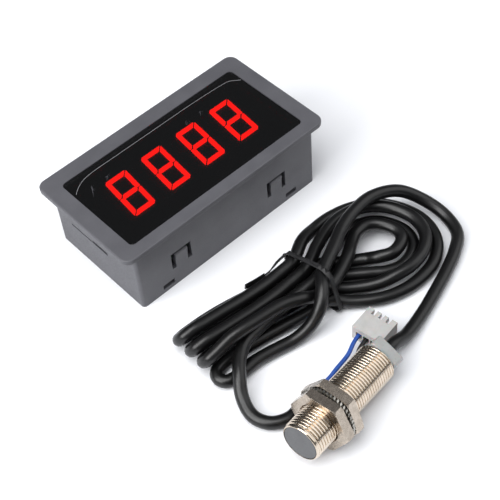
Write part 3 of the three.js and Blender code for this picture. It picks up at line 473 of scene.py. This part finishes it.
def ribbon_rings(points, width, thickness, turns, start_turn=0.0, steps=8):
    """Flat sections along a smooth line that turn about it as they go."""
    line = smooth_line(points)
    centres = [
        point_between(leg, step / steps) for leg in zip(line, line[1:]) for step in range(steps)
    ]
    centres.append(line[-1][0])
    rings = []
    for i, centre in enumerate(centres):
        along = (centres[min(i + 1, len(centres) - 1)] - centres[max(i - 1, 0)]).normalized()
        side = along.cross(Vector((0, 0, 1))).normalized()
        up = side.cross(along)
        turn = 2 * pi * (start_turn + turns * i / (len(centres) - 1))
        wide = cos(turn) * side + sin(turn) * up
        thin = cos(turn) * up - sin(turn) * side
        rings.append([
            centre + wide * width / 2 * a + thin * thickness / 2 * b for a, b in RIBBON_SECTION
        ])
    return rings


def loft_into(build, rings, wrap=False):
    """Faces through rings of points in millimetres, capped at the ends or joined round."""
    rows = [[build.verts.new(Vector(point) * MM) for point in ring] for ring in rings]
    count = len(rows[0])
    pairs = list(zip(rows, rows[1:])) + ([(rows[-1], rows[0])] if wrap else [])
    for first, second in pairs:
        for j in range(count):
            k = (j + 1) % count
            build.faces.new((first[j], first[k], second[k], second[j]))
    if not wrap:
        build.faces.new(list(reversed(rows[0])))
        build.faces.new(rows[-1])


def twist_tie_mesh():
    """The CAD band, cut off before its knot, with a twisted tail and a flat tab in its place."""
    build = bmesh.new()
    build.from_mesh(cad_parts["twist_tie"].data)
    bmesh.ops.remove_doubles(build, verts=build.verts, dist=CAD_WELD * MM)
    cut = bmesh.ops.bisect_plane(
        build, geom=[*build.verts, *build.edges, *build.faces],
        plane_co=(TIE_BAND_EDGE * MM, 0, 0), plane_no=(1, 0, 0), clear_inner=True,
    )
    open_edges = [item for item in cut["geom_cut"] if isinstance(item, bmesh.types.BMEdge)]
    bmesh.ops.holes_fill(build, edges=open_edges)
    loft_into(build, ribbon_rings(TIE_TAIL, TIE_TAIL_WIDTH, TIE_THICKNESS, TIE_TAIL_TURNS))
    loft_into(build, ribbon_rings(
        TIE_TAB, TIE_TAB_WIDTH, TIE_THICKNESS, TIE_TAB_TURNS, TIE_TAB_START,
    ))
    return finished("tie", build)


# Coated paper tape: dull black, with a fine grain
coated_tape = patterned("coated_tape", "#131314", "#222224", 3, 0.35, 0.015, 0.45, 0.62, IOR=1.5)
place_piece("tie", twist_tie_mesh(), coated_tape, ROOT, "dark_plastic", "twist_tie")

# ---------------------------------------------------------------- Case and bezel
# One ABS moulding: a shallow box with a wider bezel at its front, a recess for the window,
# tongue slots in the long walls, latch windows for the cover's hooks and a slit on the left.
BEZEL = (79, 43)
BEZEL_LOW, BEZEL_HIGH = 24, 26
BEZEL_CORNER = 3
BEZEL_EDGE = 0.5
CASE = (71.5, 39.6)
CASE_CORNER = 1.2
CASE_WALL = 1.8
CASE_INSIDE = 22.6
WINDOW = (68.2, 33.1)
WINDOW_SHIFT = -0.7
WINDOW_CORNER = 1.5
WINDOW_SEAT = 24.3
WINDOW_LEDGE = 1.8
TONGUE_PLACES = {"left": -19.5, "right": 19.5}
TONGUE_WIDTH, TONGUE_GAP = 4.6, 1.55
TONGUE_ROOT, TONGUE_TOP, SLOT_TOP = 7.5, 13.4, 14.25
HOOK_PLACES = (-25.5, 25.5)
LATCH_LENGTH, LATCH_LOW, LATCH_HIGH = 4.4, 1.5, 3.3
SLIT_LOW, SLIT_SHIFT, SLIT_LENGTH, SLIT_GAP = 12.4, 3.55, 17.1, 0.6
MOUTH_SHIFT, MOUTH_LENGTH, MOUTH_GAP = 5.35, 7.0, 1.3
POST_SIDE, POST_GAP, POST_SINK, POST_ROOT = 4.2, 0.1, 0.4, 0.5
BOARD_TOP = 10.4
OVERRUN = 1
LEFT_WALL, CUT_DEPTH = (CASE_WALL - CASE[0]) / 2, CASE_WALL + 2 * OVERRUN
CASE_ROUNDING = 0.12
LEAST_CORNER = 0.01


def rounded_outline(middle, size, corner, steps=8):
    """The corners of a rounded rectangle, anticlockwise."""
    points = []
    for cx, cy, start in ((1, 1, 0), (-1, 1, 90), (-1, -1, 180), (1, -1, 270)):
        for step in range(steps + 1):
            turn = radians(start + 90 * step / steps)
            points.append((
                middle[0] + cx * (size[0] / 2 - corner) + corner * cos(turn),
                middle[1] + cy * (size[1] / 2 - corner) + corner * sin(turn),
            ))
    return points


def plate_rings(middle, size, low, high, corner, edge=0.0, steps=5):
    """Rings of a plate with rounded corners and, where edge is set, rounded rims."""
    rings = []
    for base, way in ((low, 1), (high, -1)):
        turns = [radians(90 * k / steps) for k in range(steps + 1)] if edge else [pi / 2]
        for turn in turns if way == 1 else reversed(turns):
            inset = edge * (1 - sin(turn))
            level = base + way * edge * (1 - cos(turn))
            across = (size[0] - 2 * inset, size[1] - 2 * inset)
            ring = rounded_outline(middle, across, max(corner - inset, LEAST_CORNER))
            rings.append([(x, y, level) for x, y in ring])
    return rings


def solid_of(*plates):
    """A scratch object made of separate plates, for carving."""
    build = bmesh.new()
    for plate in plates:
        loft_into(build, plate_rings(*plate))
    scratch = bpy.data.objects.new("scratch", finished("scratch", build))
    scene.collection.objects.link(scratch)
    return scratch


def carved(name, body, steps):
    """The body joined with, or cut by, each scratch object in turn, as one mesh."""
    for way, other in steps:
        modifier = body.modifiers.new(way, "BOOLEAN")
        modifier.operation = way
        modifier.object = other
        modifier.solver = "EXACT"
    bpy.context.view_layer.update()
    whole = body.evaluated_get(bpy.context.evaluated_depsgraph_get())
    mesh = bpy.data.meshes.new_from_object(whole)
    for scratch in [body, *(other for _, other in steps)]:
        bpy.data.objects.remove(scratch)
    build = bmesh.new()
    build.from_mesh(mesh)
    bpy.data.meshes.remove(mesh)
    return finished(name, build)


def brick(x, y, low, length, depth, high, corner=0.15):
    """An upright block, as one of the plates that a scratch object is made of."""
    return ((x, y), (length, depth), low, high, corner)


def wall_openings():
    """Tongue slots and latch windows in both long walls, and the slit in the left one."""
    slot_width = TONGUE_WIDTH + 2 * TONGUE_GAP
    cuts = []
    for side in (-1, 1):
        y = side * (CASE[1] - CASE_WALL) / 2
        for x in TONGUE_PLACES.values():
            cuts.append(brick(x, y, TONGUE_ROOT, slot_width, CUT_DEPTH, SLOT_TOP))
        for x in HOOK_PLACES:
            cuts.append(brick(x, y, LATCH_LOW, LATCH_LENGTH, CUT_DEPTH, LATCH_HIGH))
    cuts.append(brick(
        LEFT_WALL, SLIT_SHIFT, SLIT_LOW, CUT_DEPTH, SLIT_LENGTH, SLIT_LOW + SLIT_GAP,
    ))
    return cuts


def board_posts():
    """A post in each corner of the case, sunk in its walls and its front."""
    x, y = CASE[0] / 2 - CASE_WALL - POST_SIDE / 2, CASE[1] / 2 - CASE_WALL - POST_SIDE / 2
    side = POST_SIDE + 2 * POST_SINK
    return [
        brick(
            sx * x + sx * POST_SINK, sy * y + sy * POST_SINK, BOARD_TOP + POST_GAP,
            side, side, CASE_INSIDE + POST_ROOT,
        )
        for sx in (-1, 1) for sy in (-1, 1)
    ]


def case_mesh():
    """The walls and the bezel in one, with every opening cut and the posts put in."""
    above = BEZEL_HIGH + OVERRUN
    walls = solid_of(((0, 0), CASE, 0, BEZEL_LOW + OVERRUN, CASE_CORNER))
    bezel = solid_of(((0, 0), BEZEL, BEZEL_LOW, BEZEL_HIGH, BEZEL_CORNER, BEZEL_EDGE))
    cavity = solid_of(brick(
        0, 0, -OVERRUN, CASE[0] - 2 * CASE_WALL, CASE[1] - 2 * CASE_WALL, CASE_INSIDE,
    ))
    aperture = solid_of(brick(
        0, WINDOW_SHIFT, CASE_INSIDE - OVERRUN,
        WINDOW[0] - 2 * WINDOW_LEDGE, WINDOW[1] - 2 * WINDOW_LEDGE, above,
    ))
    recess = solid_of(((0, WINDOW_SHIFT), WINDOW, WINDOW_SEAT, above, WINDOW_CORNER))
    openings = solid_of(*wall_openings())
    mouth = solid_of(brick(
        LEFT_WALL, SLIT_SHIFT - MOUTH_SHIFT, SLIT_LOW, CUT_DEPTH, MOUTH_LENGTH,
        SLIT_LOW + MOUTH_GAP,
    ))
    posts = solid_of(*board_posts())
    return carved("case_and_bezel", walls, [
        ("UNION", bezel), ("DIFFERENCE", cavity), ("DIFFERENCE", aperture),
        ("DIFFERENCE", recess), ("DIFFERENCE", openings), ("DIFFERENCE", mouth),
        ("UNION", posts),
    ])


# Moulded ABS: mid grey with a spark eroded texture, drawn at 0.45 mm so that it shows
grey_abs = patterned("grey_abs", "#4e4e53", "#56565b", 7, 0.45, 0.022, 0.42, 0.58, IOR=1.54)
round_edges(place_piece(
    "case_and_bezel", case_mesh(), grey_abs, ROOT, "case_plastic", "case_shell",
), CASE_ROUNDING)

# ---------------------------------------------------------------- Snap tongues
# Four tabs moulded in the long walls: each stays joined to the wall at its root, bends in
# when the unit is pushed into a panel, and holds it with a shallow wedge at its free end.
TONGUE_FOOT = 7.45
HINGE_LOW, HINGE_HIGH = 7.5, 8.3
TONGUE_WEDGE, WEDGE_LOW = 0.3, 10.6


def tongue_mesh(x, side):
    """A tab whose section is drawn as seen along the wall."""
    outer = CASE[1] / 2
    inner = outer - CASE_WALL
    profile = [
        (inner, TONGUE_FOOT), (outer, TONGUE_FOOT), (outer, HINGE_HIGH), (outer, WEDGE_LOW),
        (outer + TONGUE_WEDGE, TONGUE_TOP - TONGUE_WEDGE), (outer, TONGUE_TOP),
        (inner, TONGUE_TOP), (inner, WEDGE_LOW), (inner, HINGE_HIGH),
    ]
    build = bmesh.new()
    loft_into(build, [
        [(x + end * TONGUE_WIDTH / 2, side * y, z) for y, z in profile] for end in (-1, 1)
    ])
    return finished("tongue", build)


for row, side in (("front", -1), ("back", 1)):
    for end, x in TONGUE_PLACES.items():
        tab = bpy.data.objects.new(f"tab_{row}_{end}", tongue_mesh(x, side))
        scene.collection.objects.link(tab)
        tab.data.materials.append(grey_abs)
        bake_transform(tab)
        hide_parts(f"snap_tongue_{row}_{end}")

# ---------------------------------------------------------------- Rear cover
# A flat ABS cover that clips into the back of the case with four hooks. It has a square
# opening for the plugs, and four posts that hold the circuit board.
round_edges(place_piece(
    "clip_cover", cast_from("rear_cover", "clip_cover"), grey_abs, ROOT,
    "case_plastic", "rear_cover",
), CASE_ROUNDING)

# ---------------------------------------------------------------- Window
# A die cut plate of smoked acrylic, glued in the recess. A fine grey line is printed near
# its upper edge and curves down at both ends.
WINDOW_LOW, WINDOW_HIGH = 24.4, 25.9
WINDOW_EDGE = 0.12
WINDOW_PLAY = 0.3
PRINT_WIDTH, PRINT_HEIGHT = 0.2, 0.02
PRINT_LINE = [
    (-33.1, 9.7), (-31.3, 11.2), (-28.3, 12.7), (-25, 13.3), (-15, 13.4), (0, 13.4),
    (14.9, 13.4), (27.1, 12.9), (30.5, 12.4), (32.8, 10.7), (33.6, 10.1),
]


def window_mesh():
    build = bmesh.new()
    size = (WINDOW[0] - WINDOW_PLAY, WINDOW[1] - WINDOW_PLAY)
    loft_into(build, plate_rings(
        (0, WINDOW_SHIFT), size, WINDOW_LOW, WINDOW_HIGH, WINDOW_CORNER, WINDOW_EDGE,
        steps=2,
    ))
    return finished("smoked_plate", build)


def print_mesh():
    build = bmesh.new()
    points = [(x, y, WINDOW_HIGH + PRINT_HEIGHT / 2) for x, y in PRINT_LINE]
    loft_into(build, ribbon_rings(points, PRINT_WIDTH, PRINT_HEIGHT, 0))
    return finished("printed_line", build)


# Smoked acrylic: polished, and dark enough to hide all but the lit bars
smoked_acrylic = patterned(
    "smoked_acrylic", "#3c3b3e", "#403f42", 20, 3, 0.0002, 0.03, 0.06, IOR=1.49,
    Transmission_Weight=1.0, Specular_IOR_Level=0.1,
)
# Printed ink: a dull mid grey
grey_ink = patterned("grey_ink", "#6d6d70", "#7b7b7e", 4, 0.3, 0.002, 0.45, 0.6, IOR=1.5)
keep_flat(place_piece(
    "smoked_plate", window_mesh(), smoked_acrylic, ROOT, "smoked_window", "display_window",
))
place_piece("printed_line", print_mesh(), grey_ink, ROOT, "smoked_window")

# ---------------------------------------------------------------- Lit digits
# Four seven bar digits under the window: a black mask plate with red epoxy bars that glow
# evenly when lit, and a small round point that stays dark.
GUIDE_TOP, GUIDE_CORNER, BAR_TOP = 23.7, 0.3, 24.2
DIGIT_WIDTH, DIGIT_HEIGHT, DIGIT_SHIFT = 7.9, 16.3, -0.2
BAR_WIDTH, BAR_GAP, BAR_BLUNT, BAR_SINK = 1.42, 0.3, 0.12, 0.1
DIGIT_LEAN = tan(radians(5.5))
POINT_RADIUS = 0.95
BAR_LIGHT = 26.0


def bar_outlines():
    """The seven bars about the digit's middle, upright: mitred corners, pointed middle bar."""
    w, h, t, g, b = DIGIT_WIDTH / 2, DIGIT_HEIGHT / 2, BAR_WIDTH, BAR_GAP, BAR_BLUNT
    top = [
        (-w + g + 2 * b, h), (w - g - 2 * b, h), (w - g - b, h - b), (w - g - t, h - t),
        (-w + g + t, h - t), (-w + g + b, h - b),
    ]
    upright = [
        (-w, h - g - 2 * b), (-w + b, h - g - b), (-w + t, h - g - t), (-w + t, t / 2 + g),
        (-w + t / 2, g), (-w, g),
    ]
    middle = [
        (-w + t / 2 + 1.5 * g, 0), (-w + t + g, t / 2), (w - t - g, t / 2),
        (w - t / 2 - 1.5 * g, 0), (w - t - g, -t / 2), (-w + t + g, -t / 2),
    ]
    uprights = [[(sx * x, sy * y) for x, y in upright] for sx in (1, -1) for sy in (1, -1)]
    return [top, [(x, -y) for x, y in top], middle, *uprights]


def digit_mesh(number):
    """The mask, the dark point and the leaning bars of one digit."""
    low, high = (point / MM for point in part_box(f"digit_{number}"))
    middle = ((low.x + high.x) / 2, (low.y + high.y) / 2)
    build = bmesh.new()
    guide = (high.x - low.x, high.y - low.y)
    loft_into(build, plate_rings(middle, guide, low.z, GUIDE_TOP, GUIDE_CORNER))
    dot = (
        middle[0] + DIGIT_WIDTH / 2 + POINT_RADIUS, middle[1] - DIGIT_HEIGHT / 2 + POINT_RADIUS,
    )
    size = (2 * POINT_RADIUS, 2 * POINT_RADIUS)
    loft_into(build, plate_rings(
        dot, size, GUIDE_TOP - BAR_SINK, GUIDE_TOP + BAR_SINK, POINT_RADIUS - LEAST_CORNER,
    ))
    dark = len(build.faces)
    for outline in bar_outlines():
        points = [(middle[0] + x + y * DIGIT_LEAN, DIGIT_SHIFT + y) for x, y in outline]
        levels = (GUIDE_TOP - BAR_SINK, BAR_TOP)
        loft_into(build, [[(x, y, z) for x, y in points] for z in levels])
    build.faces.ensure_lookup_table()
    for face in build.faces[dark:]:
        face.material_index = 1
    mesh = finished(f"bars_{number}", build)
    mesh.materials.append(guide_black)
    mesh.materials.append(lit_epoxy)
    return mesh


# Black moulded mask: flat black round the bars
guide_black = patterned("guide_black", "#030303", "#070708", 5, 0.4, 0.01, 0.6, 0.75, IOR=1.5)
# Diffusing red epoxy: it glows an even, pure red
lit_epoxy = patterned(
    "lit_epoxy", "#8c0402", "#a80502", 4, 0.6, 0.005, 0.3, 0.4, IOR=1.5,
    Emission_Color=linear("#ff0c02"), Emission_Strength=BAR_LIGHT,
)
for number in (1, 2, 3, 4):
    keep_flat(place_piece(
        f"bars_{number}", digit_mesh(number), None, ROOT, "lit_red", f"digit_{number}",
    ))


# ---------------------------------------------------------------- Display block and board
# Behind the digits a black epoxy filled block stands on two rows of leads. The board is
# green fibreglass, its parts soldered to the rear side, between the cover's posts.
def boxed(name, node, material, slot, corner=0.2, edge=0.12):
    """A moulded block with soft corners that fills its CAD node's box."""
    low, high = (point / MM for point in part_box(node))
    middle = ((low.x + high.x) / 2, (low.y + high.y) / 2)
    build = bmesh.new()
    size = (high.x - low.x, high.y - low.y)
    loft_into(build, plate_rings(middle, size, low.z, high.z, corner, edge, steps=3))
    return place_piece(name, finished(name, build), material, ROOT, slot, node)


# Epoxy moulding compound: matt black with a fine tooth
black_epoxy = patterned("black_epoxy", "#111112", "#1b1b1d", 4, 0.3, 0.012, 0.5, 0.68, IOR=1.55)
boxed("display_block", "display_body", black_epoxy, "dark_plastic", corner=0.4, edge=0.2)
boxed("front_leads", "front_lead_row", black_epoxy, "dark_plastic")
boxed("back_leads", "back_lead_row", black_epoxy, "dark_plastic")

# Solder mask on fibreglass: deep green gloss over a weave of about 1 mm
green_mask = patterned("green_mask", "#123f22", "#1b5a31", 2.5, 1.0, 0.01, 0.25, 0.4, IOR=1.55)
boxed("fibreglass_board", "main_board", green_mask, "circuit_board", corner=0.5, edge=0.1)
boxed("controller_chip", "microcontroller", black_epoxy, "dark_plastic")
boxed("regulator_chip", "voltage_regulator", black_epoxy, "dark_plastic")
boxed("diode_chip", "protection_diode", black_epoxy, "dark_plastic")
boxed("transistor_chip", "input_transistor", black_epoxy, "dark_plastic")

# Drawn steel can with a nickel flash: bright, with lengthwise draw marks
drawn_can = patterned(
    "drawn_can", "#a3a6aa", "#c6c8ca", 2, 0.3, 0.005, 0.22, 0.36, (1, 1, 0.25), Metallic=1.0,
)
boxed("crystal_can", "crystal", drawn_can, "tinned_metal", corner=2.2, edge=0.3)
boxed("input_can", "input_capacitor", drawn_can, "tinned_metal", corner=3.1, edge=0.3)
boxed("output_can", "output_capacitor", drawn_can, "tinned_metal", corner=3.1, edge=0.3)

# The two pin headers: nylon shrouds with square tinned pins
HEADER_ROUNDING = 0.1
for kind, count in (("power", 2), ("sensor", 3)):
    round_edges(place_piece(
        f"{kind}_shroud", cast_from(f"{kind}_header", f"{kind}_shroud"), white_nylon, ROOT,
        "plug_plastic", f"{kind}_header",
    ), HEADER_ROUNDING)
    for pin in range(1, count + 1):
        boxed(
            f"{kind}_contact_{pin}", f"{kind}_pin_{pin}", tinned_brass, "tinned_metal",
            corner=0.08, edge=0.15,
        )

# ---------------------------------------------------------------- Sensor barrel
# A turned brass tube, nickel plated, with a 1 mm pitch thread cut along it, a plain rim at
# its nose and a small chamfer at both ends.
SENSOR_FACE = Vector((-38.9, -89.6, 10.6))
SENSOR_SIDE = Vector((-0.139173, 0.990268, 0))
SENSOR_UP = Vector((0.108666, 0.015272, 0.993961))
BARREL_RADIUS, BARREL_LENGTH = 6.0, 35.3
BARREL_BORE, BARREL_SEAT, SEAT_DEPTH = 5.0, 5.45, 1.2
THREAD_PITCH, THREAD_DEPTH = 1.0, 0.55
THREAD_TURN_STEPS, THREAD_ROW_STEPS = 72, 10
GROOVE_SLOPE, GROOVE_START = 5, 1.5
BARREL_CHAMFER = 0.45
NOSE_RIM, NOSE_STEP = 1.0, 0.2


def on_sensor(radius, turn, place):
    """A point given by its distance from the sensor's axis, its angle and its place along."""
    return (
        SENSOR_FACE + SENSOR_SIDE * radius * cos(turn) + SENSOR_UP * radius * sin(turn)
        + SENSOR_ALONG * place
    )


def thread_radius(place, turn):
    """The thread's profile: flat crests and narrow grooves, and a plain rim at the nose."""
    phase = (place / THREAD_PITCH - turn / (2 * pi)) % 1
    groove = min(1, max(0, abs(phase - 0.5) * GROOVE_SLOPE - GROOVE_START))
    radius = BARREL_RADIUS - THREAD_DEPTH * groove
    if place < NOSE_RIM:
        radius = BARREL_RADIUS - NOSE_STEP
    end = min(place, BARREL_LENGTH - place)
    return min(radius, BARREL_RADIUS - BARREL_CHAMFER + end)


def barrel_mesh():
    """The threaded outside, and back through the bore to the seat of the sensing face."""
    rows = round(BARREL_LENGTH / THREAD_PITCH * THREAD_ROW_STEPS)
    turns = [2 * pi * k / THREAD_TURN_STEPS for k in range(THREAD_TURN_STEPS)]
    rings = []
    for row in range(rows + 1):
        place = BARREL_LENGTH * row / rows
        rings.append([on_sensor(thread_radius(place, turn), turn, place) for turn in turns])
    for radius, place in (
        (BARREL_BORE, BARREL_LENGTH), (BARREL_BORE, SEAT_DEPTH), (BARREL_SEAT, SEAT_DEPTH),
        (BARREL_SEAT, 0),
    ):
        rings.append([on_sensor(radius, turn, place) for turn in turns])
    build = bmesh.new()
    loft_into(build, rings, wrap=True)
    return finished("threaded_barrel", build, sharp=60)


# Nickel plated brass: warm bright metal, its sheen a little uneven at 0.6 mm
nickel_plate = patterned(
    "nickel_plate", "#cfc1af", "#dbcebe", 3, 0.6, 0.0006, 0.14, 0.22, Metallic=1.0,
)
place_piece("threaded_barrel", barrel_mesh(), nickel_plate, ROOT, "nickel_brass", "sensor_barrel")

# ---------------------------------------------------------------- Sensing face
# A turned plug of grey PBT pressed in the front of the barrel, flush with its rim. Its
# section is drawn as radius and place.
FACE_PROFILE = (
    (0.02, 0), (5.15, 0), (5.3, 0.15), (5.3, 1.1), (4.85, 1.1), (4.85, 3.5), (0.02, 3.5),
)


def spun_into(build, profile, steps=64):
    """A closed ring of profile points, as (radius, place), turned round the sensor's axis."""
    loft_into(build, [
        [on_sensor(radius, 2 * pi * k / steps, place) for radius, place in profile]
        for k in range(steps)
    ], wrap=True)


def face_mesh():
    build = bmesh.new()
    spun_into(build, FACE_PROFILE)
    return finished("face_plug", build)


# Moulded PBT: flat mid grey, with a fine matt grain
grey_pbt = patterned("grey_pbt", "#525355", "#5b5c5e", 4, 0.4, 0.01, 0.5, 0.62, IOR=1.55)
place_piece("face_plug", face_mesh(), grey_pbt, ROOT, "face_plastic", "sensing_face")

# ---------------------------------------------------------------- Sensor nuts and washer
# Two thin hexagon nuts with 30 degree chamfers clamp the sensor to a bracket, with a toothed
# lock washer between them. The nuts are nickel plated brass, the washer zinc flashed steel.
NUT_FLATS, NUT_THICKNESS, NUT_BORE = 17, 3.1, 6.08
NUT_BORE_CHAMFER, NUT_RIM = 0.35, 0.12
NUT_CHAMFER_CIRCLE, NUT_CHAMFER_SLOPE = 18.3 / 2, tan(radians(30))
NUT_STEPS = 16
FRONT_NUT_PLACE, FRONT_NUT_TURN = 8.2, -1.8
REAR_NUT_PLACE, REAR_NUT_TURN = 12.7, 5.3
WASHER_PLACE, WASHER_THICKNESS = 11.6, 0.8
WASHER_ROOT, WASHER_RADIUS, WASHER_BORE = 8.3, 9.0, 6.2
WASHER_TEETH, WASHER_TWIST, WASHER_LAND = 48, 0.2, 0.4
# The three edges of a tooth: their place in quarters of its width, radius and lift
WASHER_TOOTH = (
    (0, WASHER_ROOT, 0), (1, WASHER_RADIUS, WASHER_TWIST), (3, WASHER_RADIUS, -WASHER_TWIST),
)


def nut_mesh(name, place, turn_degrees):
    """A hexagon nut as a closed ring of sections, its corners chamfered at both faces."""
    build = bmesh.new()
    rings = []
    for k in range(6 * NUT_STEPS):
        angle = 60 * k / NUT_STEPS
        reach = NUT_FLATS / 2 / cos(radians(angle % 60 - 30))
        top = min(reach - NUT_RIM, NUT_CHAMFER_CIRCLE)
        drop = (reach - top) * NUT_CHAMFER_SLOPE
        turn = radians(turn_degrees + angle)
        end = place + NUT_THICKNESS
        rings.append([on_sensor(radius, turn, at) for radius, at in (
            (NUT_BORE, place + NUT_BORE_CHAMFER), (NUT_BORE, end - NUT_BORE_CHAMFER),
            (NUT_BORE + NUT_BORE_CHAMFER, end), (top, end), (reach, end - drop),
            (reach, place + drop), (top, place), (NUT_BORE + NUT_BORE_CHAMFER, place),
        )])
    loft_into(build, rings, wrap=True)
    return finished(name, build, sharp=20)


def washer_mesh():
    """A flat ring whose teeth are twisted, one edge forward and one back."""
    build = bmesh.new()
    rings = []
    low, high = WASHER_PLACE, WASHER_PLACE + WASHER_THICKNESS
    for k in range(3 * WASHER_TEETH):
        tooth, part = divmod(k, 3)
        share, radius, lift = WASHER_TOOTH[part]
        turn = 2 * pi * (tooth + share / 4) / WASHER_TEETH
        rings.append([on_sensor(r, turn, at) for r, at in (
            (WASHER_BORE, low), (WASHER_BORE, high), (WASHER_ROOT - WASHER_LAND, high),
            (radius, high + lift), (radius, low + lift), (WASHER_ROOT - WASHER_LAND, low),
        )])
    loft_into(build, rings, wrap=True)
    return finished("toothed_washer", build, sharp=20)


# Zinc flashed steel: brighter and cooler than the nuts
zinc_steel = patterned(
    "zinc_steel", "#9b9994", "#c2bfb8", 1.5, 0.3, 0.006, 0.24, 0.4, Metallic=1.0,
)
# Turned and plated nut: the same warm nickel with a coarser, mottled face
nut_nickel = patterned(
    "nut_nickel", "#aba093", "#c2b7aa", 1.6, 0.5, 0.0018, 0.2, 0.32, Metallic=1.0,
)
place_piece(
    "clamp_nut_front", nut_mesh("clamp_nut_front", FRONT_NUT_PLACE, FRONT_NUT_TURN),
    nut_nickel, "front_nut", "nickel_brass", "front_nut",
)
place_piece("toothed_washer", washer_mesh(), zinc_steel, "washer", "tinned_metal", "lock_washer")
place_piece(
    "clamp_nut_rear", nut_mesh("clamp_nut_rear", REAR_NUT_PLACE, REAR_NUT_TURN),
    nut_nickel, "rear_nut", "nickel_brass", "rear_nut",
)

# ---------------------------------------------------------------- Sensor cap
# A moulded square of milky polycarbonate that plugs the barrel's rear end and passes the
# glow of the small lamp behind it. The cable leaves it through its middle.
CAP_SIDE, CAP_CORNER, CAP_EDGE, CAP_TURN = 9.4, 1.0, 0.5, 23
CAP_PLACE, CAP_TOP = 35.4, 39.5
CAP_PLUG_RADIUS, CAP_PLUG_HOLE = 4.8, 2.3
CAP_PLUG_START, CAP_PLUG_END = 31.3, CAP_PLACE + 0.9


def cap_mesh():
    """The square, turned about the sensor's axis, and the hollow plug behind its front."""
    build = bmesh.new()
    turn = radians(CAP_TURN)
    size = (CAP_SIDE, CAP_SIDE)
    rings = []
    for ring in plate_rings((0, 0), size, CAP_PLACE, CAP_TOP, CAP_CORNER, CAP_EDGE):
        rings.append([
            SENSOR_FACE + SENSOR_SIDE * (x * cos(turn) - y * sin(turn))
            + SENSOR_UP * (x * sin(turn) + y * cos(turn)) + SENSOR_ALONG * z
            for x, y, z in ring
        ])
    loft_into(build, rings)
    spun_into(build, [
        (CAP_PLUG_HOLE, CAP_PLUG_START), (CAP_PLUG_RADIUS, CAP_PLUG_START),
        (CAP_PLUG_RADIUS, CAP_PLUG_END), (CAP_PLUG_HOLE, CAP_PLUG_END),
    ])
    return finished("milky_cap", build, sharp=40)


# Milky polycarbonate: light grey, soft gloss, and light spreads inside it
milky_polycarbonate = patterned(
    "milky_polycarbonate", "#989a99", "#a6a8a6", 4, 0.4, 0.008, 0.26, 0.38, IOR=1.55,
    Subsurface_Weight=0.35, Subsurface_Scale=1.5 * MM,
)
keep_flat(place_piece(
    "milky_cap", cap_mesh(), milky_polycarbonate, ROOT, "cap_plastic", "rear_cap",
))

# ---------------------------------------------------------------- Inside the sensor
# A small ferrite pickup behind the face, a narrow board and a red lamp, all potted in the
# barrel and hidden by it.
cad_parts["pickup_element"].data.materials[0] = black_epoxy
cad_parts["sensor_board"].data.materials[0] = green_mask
# Tinted epoxy lamp: clear red, unlit
lamp_epoxy = patterned("lamp_epoxy", "#8c0f0a", "#a8160f", 2, 0.4, 0.004, 0.15, 0.25, IOR=1.5)
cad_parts["indicator_lamp"].data.materials[0] = lamp_epoxy

bpy.context.view_layer.update()
